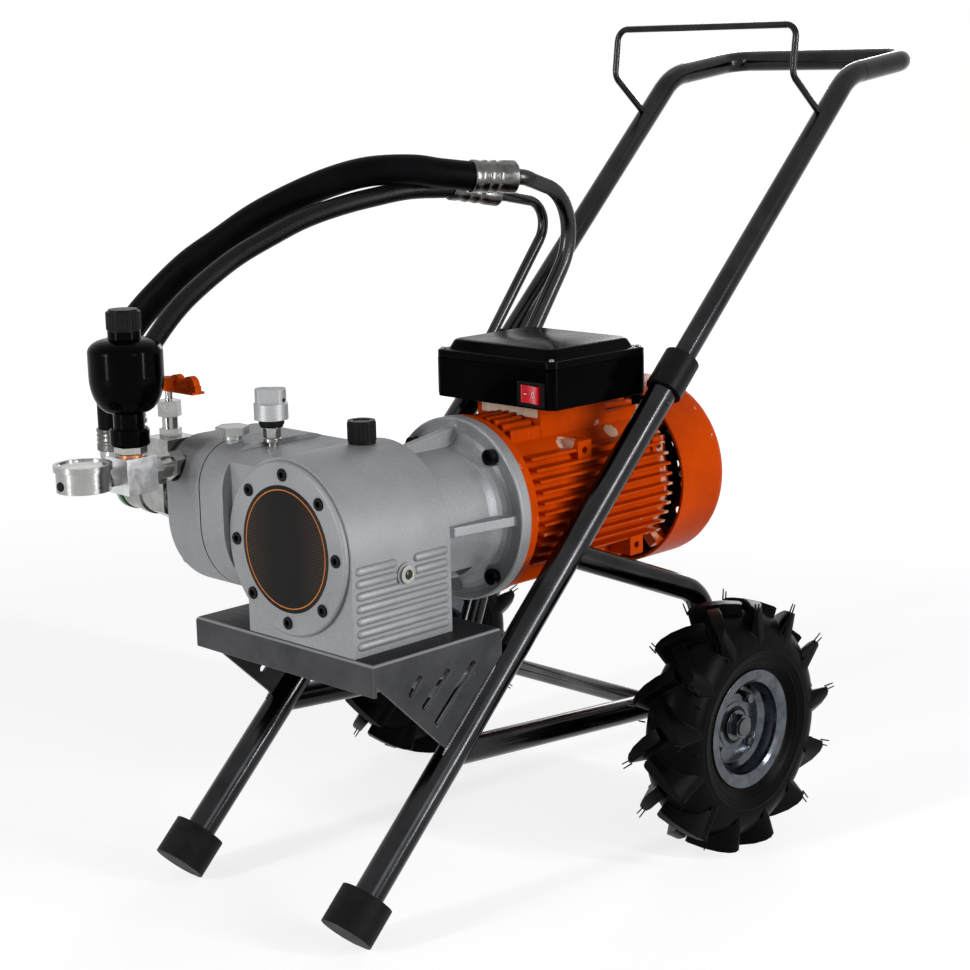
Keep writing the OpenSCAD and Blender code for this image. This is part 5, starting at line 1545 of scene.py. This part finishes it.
    def whiskers(self, mesher: Mesher, draw: Random, half: int, tip: float) -> None:
        """Grows a pair of whiskers on a lug's tip and one on the sidewall below it.

        Args:
            mesher: Gathers the whiskers.
            draw: Source of the random draws.
            half: 1 for the outer half of the tread and -1 for the inner half.
            tip: Degrees at which the lug ends.
        """
        t = math.radians(tip)
        out = Vector((0.0, math.cos(t), math.sin(t)))
        across, radius = self.tip_whisker
        for aside in (-self.pair_gap, self.pair_gap):
            back, up = (draw.uniform(-self.tip_lean, self.tip_lean) for _ in range(2))
            lean = Vector((self.side * half * self.tip_lean, back, up))
            root = self.spot(half * across, radius, tip + aside)
            self.whisker(mesher, root, out + lean, draw.uniform(*self.tip_lengths))
        across, radius = self.wall_whisker
        lean = OUTWARD * (self.side * half * draw.uniform(*self.wall_leans))
        root = self.spot(half * across, radius + draw.uniform(*self.wall_scatter),
                         tip + draw.uniform(-self.wall_stray, self.wall_stray))
        self.whisker(mesher, root, out + lean, draw.uniform(*self.wall_lengths))

    def build(self) -> None:
        """Makes the tyre, its whiskers and its valve."""
        name = "left" if self.side > 0 else "right"
        tyre, hair, valve = Mesher(), Mesher(), Mesher()
        draw = Random(self.seed + self.side)
        self.carcass(tyre)
        pitch = 360.0 / self.lugs
        for half, stagger in ((-1, 0.5), (1, 0.0)):
            for i in range(self.lugs):
                start = self.first_lug + pitch * (i + stagger)
                self.lug(tyre, half, start)
                tip = start + self.sections[-1].share * self.lean
                if abs((tip - 90.0) % 360.0 - 180.0) >= self.ground_gap:
                    self.whiskers(hair, draw, half, tip)
        self.fit(tyre.made(f"tyre_tread_{name}", 30.0), self.body, Slot.TYRE, None, (f"tyre_{name}",))
        self.fit(hair.made(f"tyre_whiskers_{name}"), self.body, Slot.TYRE)
        valve.lathe(self.spot(*self.valve_at), Vector((self.side, 0.0, self.valve_lean)), self.valve, 20)
        self.fit(valve.made(f"tyre_valve_{name}"), self.body, Slot.PLASTIC)


@dataclass
class Welds(SubAssembly):
    """Weld beads where legs and tray meet, and the rivets at the tops of the legs."""

    leg_r: float = 16.0
    sheet_x: float = 140.0
    proud: float = 0.6
    gusset: Point = (202.0, 312.0)
    bead: float = 2.3
    ripple: float = 0.22
    ripple_long: float = 3.2
    rivet_at: float = 672.0
    rivet_sunk: float = 0.4
    rivet: Profile = ((3.4, 0.0), (3.4, 0.7), (2.4, 1.6), (0.9, 1.9))

    def line(self, mesher: Mesher, start: Vector, end: Vector) -> None:
        """Lays a rippled bead between two points.

        Args:
            mesher: Gathers the bead.
            start: First point in metres.
            end: Last point in metres.
        """
        count = max(4, int((end - start).length / (self.ripple_long * MM) * 4))

        def thickness(share: float) -> float:
            """Gives the bead's radius in metres at a share of its length."""
            ripple = 1.0 - self.ripple + self.ripple * math.sin(share * count / 4 * 2 * math.pi)
            return self.bead * MM * ripple * min(1.0, 0.35 + 8.0 * min(share, 1.0 - share))

        mesher.sweep([start.lerp(end, i / count) for i in range(count + 1)], thickness)

    def build(self) -> None:
        """Lays the beads of the tray and sets the rivets."""
        normal = Vector((0.0, -math.sin(LEG_SLOPE), math.cos(LEG_SLOPE)))
        gap = self.sheet_x - LEG_X
        reach = math.sqrt(self.leg_r ** 2 - gap ** 2)
        beads, rivets = Mesher(), Mesher()
        for side in (-1, 1):
            outer = OUTWARD * (side * (gap + self.proud))
            ends = [leg_point(side, s) + normal * (reach + self.proud) + outer for s in self.gusset]
            self.line(beads, *(cart(*p) for p in ends))
            rivet = leg_point(side, self.rivet_at) + OUTWARD * (side * (self.leg_r - self.rivet_sunk))
            rivets.lathe(cart(*rivet), OUTWARD * side, self.rivet, 20)
        steel = MachinedMetal("weld_bead", (0.2, 0.2, 0.21), (0.09, 0.09, 0.095), 0.45, EVEN_SCRATCHES,
                              0.0003)
        self.fit(beads.made("tray_weld_beads", 60.0), Body.ROOT, Slot.STEEL, steel)
        self.fit(rivets.made("leg_rivets"), Body.ROOT, Slot.CHROME)


@dataclass
class GaugeDetails(SubAssembly):
    """Marks on the pressure gauge's dial, and the rubber blow-out plug in its case."""

    centre: Point = (-156.3, -78.0, 461.25)
    tick_reach: float = 23.4
    ticks: int = 40
    long_tick: Point = (4.2, 0.42)
    short_tick: Point = (2.4, 0.22)
    first_turn: float = 225.0
    sweep: float = 270.0
    numbers: Sequence[str] = ("0", "10", "20", "30", "40")
    number_reach: float = 15.0
    number_high: float = 5.0
    ink: float = 0.08
    plug_at: Point = (-156.3, -103.6, 449.75)
    plug: Profile = ((5.0, 0.0), (5.0, 2.0), (4.1, 2.9), (0.8, 3.2))

    def out_at(self, share: float) -> Vector:
        """Finds the direction from the dial's middle to a place on its scale.

        Args:
            share: 0 at the start of the scale and 1 at its end.

        Returns:
            The direction, of length 1.
        """
        t = math.radians(self.first_turn - self.sweep * share)
        return Vector((math.cos(t), math.sin(t), 0.0))

    def tick_marks(self) -> None:
        """Sets the ticks round the dial."""
        mesher, middle = Mesher(), Vector(self.centre)
        for i in range(self.ticks + 1):
            long, half = self.long_tick if i % 5 == 0 else self.short_tick
            out = self.out_at(i / self.ticks)
            across = UP.cross(out) * half
            tip, root = middle + out * self.tick_reach, middle + out * (self.tick_reach - long)
            corners = [tip + across, tip - across, root - across, root + across]
            mesher.loft([[cart(p.x, p.y, p.z + rise) for p in corners] for rise in (-0.1, 0.12)])
        self.fit(mesher.made("dial_ticks"), Body.ROOT, Slot.NEEDLE)

    def dial_numbers(self) -> None:
        """Sets the numbers inside the ticks."""
        for i, number in enumerate(self.numbers):
            data = bpy.data.curves.new(f"dial_number_{number}", "FONT")
            data.body, data.size, data.extrude = number, self.number_high * MM, self.ink * MM
            data.align_x, data.align_y = "CENTER", "CENTER"
            piece = placed(f"dial_number_{number}", data)
            out = self.out_at(i / (len(self.numbers) - 1))
            piece.location = cart(*(Vector(self.centre) + out * self.number_reach + UP * self.ink))
            self.fit(piece, Body.ROOT, Slot.NEEDLE)

    def build(self) -> None:
        """Makes the dial's marks and the plug."""
        self.tick_marks()
        self.dial_numbers()
        mesher = Mesher()
        mesher.lathe(cart(*self.plug_at), -BACKWARD, self.plug, 28)
        self.fit(mesher.made("gauge_blow_out_plug"), Body.ROOT, Slot.RUBBER)


@dataclass
class LeverHoles(SubAssembly):
    """Orange two-humped lever with its two moulded holes."""

    nodes: Mapping[str, Piece]
    place: Point = (-190.3, 48.0, 533.5)
    length: float = 52.0
    shares: Point = (0.33, 0.78)
    hole: Profile = ((4.0, 0.0), (4.0, 24.0))

    def build(self) -> None:
        """Cuts the holes and softens the shading."""
        piece = softened(self.nodes["valve_lever"], "lever_handle")
        cutter = Mesher()
        for share in self.shares:
            start = Vector(self.place) + OUTWARD * share * self.length
            cutter.lathe(cart(*start), BACKWARD, self.hole, 24)
        piece = bored(piece, cutter.made("lever_cutter"))
        smoothed(piece.data, 30.0)
        self.fit(piece, Body.LEVER, Slot.LEVER, None, ("valve_lever",))


@dataclass
class Tray(SubAssembly):
    """Folded tray with its long folds rolled round."""

    nodes: Mapping[str, Piece]
    top: float = 286.5
    fold: float = 4.5
    fold_turn: float = 40.0
    shortest: float = 80.0

    def is_fold(self, edge: Edge) -> bool:
        """Tells whether an edge is one of the long folds round the top."""
        long = edge.calc_length() > self.shortest * MM
        return long and at_height(edge, self.top) and turn_of(edge) > self.fold_turn

    def build(self) -> None:
        """Rolls the folds."""
        piece = softened(self.nodes["tray"], "tray_folds", [(self.is_fold, self.fold, 4)])
        self.fit(piece, Body.ROOT, Slot.TRAY, None, ("tray",))


@dataclass
class PumpDetails(SubAssembly):
    """Small fitted pieces of the pump: cast side ribs, oil lens, knob collar and set screw, steel nut."""

    rib_face: float = 110.2
    rib_top: float = 374.0
    rib_pitch: float = 12.7
    rib_count: int = 7
    rib_half: float = 4.7
    rib_proud: float = 4.2
    rib_ends: Point = (50.5, 176.5)
    parted_ribs: int = 2
    lens_at: Point = (114.9, 117.0, 360.0)
    lens: Profile = ((4.85, 0.0), (4.85, 0.6), (4.3, 1.2), (3.0, 1.7), (1.2, 1.95), (0.2, 2.0))
    boss_gap: float = 11.5
    stem: Point = (-66.3, 98.0, 477.0)
    stem_flange: Profile = ((9.2, 0.0), (9.2, 3.6), (8.4, 4.2))
    stem_hexagon: Profile = ((8.6, 4.0), (9.3, 4.8), (9.3, 15.0), (8.6, 15.8))
    collar: Profile = ((11.2, 15.6), (12.2, 16.0), (12.4, 18.0), (13.4, 18.8), (13.6, 23.0), (12.6, 23.3))
    screw_turn: float = 15.0
    screw_reach: float = 16.3
    screw_height: float = 44.7
    screw: Profile = ((2.2, 0.0), (2.2, 0.35), (1.8, 0.5), (1.2, 0.3))
    nut_at: Point = (-156.3, -17.0, 471.1)
    nut: Profile = ((16.3, 0.0), (17.2, 1.0), (17.2, 7.6), (16.3, 8.6))

    def rib(self, mesher: Mesher, start: float, end: float, height: float) -> None:
        """Lofts one half-round rib with round ends.

        Args:
            mesher: Gathers the ribs.
            start: Where it begins, in the cart's millimetres.
            end: Where it ends.
            height: Height of its middle.
        """
        swell = [(size, (1.0 - math.sqrt(1.0 - size * size)) * self.rib_half)
                 for size in (0.25, 0.6, 0.85, 1.0)]
        sections = [(start + run, size) for size, run in swell]
        sections += [(end - run, size) for size, run in reversed(swell)]
        arc = [math.radians(a) for a in range(-90, 91, 15)]
        mesher.loft([[cart(self.rib_face + self.rib_proud * size * math.cos(t), y,
                           height + self.rib_half * size * math.sin(t)) for t in arc]
                     for y, size in sections])

    def ribs(self) -> None:
        """Casts the ribs on the housing's side, the upper ones parted by the lens."""
        mesher = Mesher()
        first, last = self.rib_ends
        parted = ((first, self.lens_at[1] - self.boss_gap), (self.lens_at[1] + self.boss_gap, last))
        for i in range(self.rib_count):
            for start, end in parted if i < self.parted_ribs else ((first, last),):
                self.rib(mesher, start, end, self.rib_top - i * self.rib_pitch)
        self.fit(mesher.made("side_rib_castings", 40.0), Body.ROOT, Slot.CASTING)

    def oil_lens(self) -> None:
        """Sets the domed lens in the sight glass."""
        mesher = Mesher()
        mesher.lathe(cart(*self.lens_at), OUTWARD, self.lens, 32)
        oil = GlossEnamel("oil_lens_glass", (0.02, 0.02, 0.009), (0.045, 0.04, 0.018), 0.08, shine=0.25)
        self.fit(mesher.made("oil_lens"), Body.ROOT, Slot.ENAMEL, oil)

    def knob_parts(self) -> None:
        """Fits the stem's hexagon, the black collar under the knob and the knob's set screw."""
        stem, collar, screw = Mesher(), Mesher(), Mesher()
        base, turn = Vector(self.stem), math.radians(self.screw_turn)
        stem.lathe(cart(*base), UP, self.stem_flange, 32)
        stem.lathe(cart(*base), UP, self.stem_hexagon, 6)
        collar.lathe(cart(*base), UP, self.collar, 48)
        out = Vector((math.cos(turn), math.sin(turn), 0.0))
        screw.lathe(cart(*(base + out * self.screw_reach + UP * self.screw_height)), out, self.screw, 20)
        self.fit(stem.made("regulator_hexagon"), Body.ROOT, Slot.NICKEL)
        self.fit(collar.made("knob_collar"), Body.ROOT, Slot.PLASTIC)
        self.fit(screw.made("knob_set_screw"), Body.KNOB, Slot.SCREW)

    def steel_nut(self) -> None:
        """Fits the steel nut between the washer and the black neck of the accumulator."""
        mesher, base = Mesher(), Vector(self.nut_at)
        mesher.loft([circle(cart(*(base + UP * up)), UP, OUTWARD, radius * MM, 6) for radius, up in self.nut])
        self.fit(mesher.made("accumulator_nut", 20.0), Body.ROOT, Slot.NICKEL)

    def build(self) -> None:
        """Makes the ribs, lens, knob parts and nut."""
        self.ribs()
        self.oil_lens()
        self.knob_parts()
        self.steel_nut()


@dataclass
class MotorPlate(SubAssembly):
    """Bare cream plate on the motor's shoulder, under the front of the switch box."""

    sides: Point = (-22.0, 62.0)
    heights: Point = (478.0, 492.6)
    back: float = 366.4
    thickness: float = 1.2

    def build(self) -> None:
        """Makes the plate."""
        (left, right), (foot, top) = self.sides, self.heights
        corners = ((left, foot), (right, foot), (right, top), (left, top))
        mesher = Mesher()
        mesher.loft([[cart(x, y, z) for x, z in corners] for y in (self.back - self.thickness, self.back)])
        cream = Lacquer("cream_plate", (0.62, 0.5, 0.38), (0.5, 0.38, 0.28), 0.5)
        self.fit(mesher.made("motor_blank_plate"), Body.ROOT, Slot.DIAL, cream)


@dataclass
class FrameNodes(SubAssembly):
    """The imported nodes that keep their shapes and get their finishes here."""

    nodes: Mapping[str, Piece]
    slots: Mapping[str, str]

    def build(self) -> None:
        """Dresses each node by its record slot."""
        for name, piece in self.nodes.items():
            finish = NODE_FINISHES.get(name, FINISHES[Slot(self.slots[name])])
            piece.data.materials.clear()
            piece.data.materials.append(finish.material())
            LOG.info("frame node %s: %s", name, finish.name)


def main() -> None:
    """Builds the sprayer's looks in order and reports each piece."""
    logging.basicConfig(level=logging.INFO, format="%(message)s")
    nodes = frame["nodes"]
    slots = {part["node"]: part["material_slot"] for part in frame["record"]["subparts"]}
    for sub_assembly in (Studio(), HoseSet(), HoseFittings(), TerminalBox(nodes), Tyre(1, Body.WHEEL_LEFT),
                         Tyre(-1, Body.WHEEL_RIGHT), Welds(), GaugeDetails(), LeverHoles(nodes), Tray(nodes),
                         PumpDetails(), MotorPlate(), FrameNodes(nodes, slots)):
        sub_assembly.build()


for leftover in list(bpy.data.objects):
    bpy.data.objects.remove(leftover)
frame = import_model()

if __name__ == "__main__":
    main()
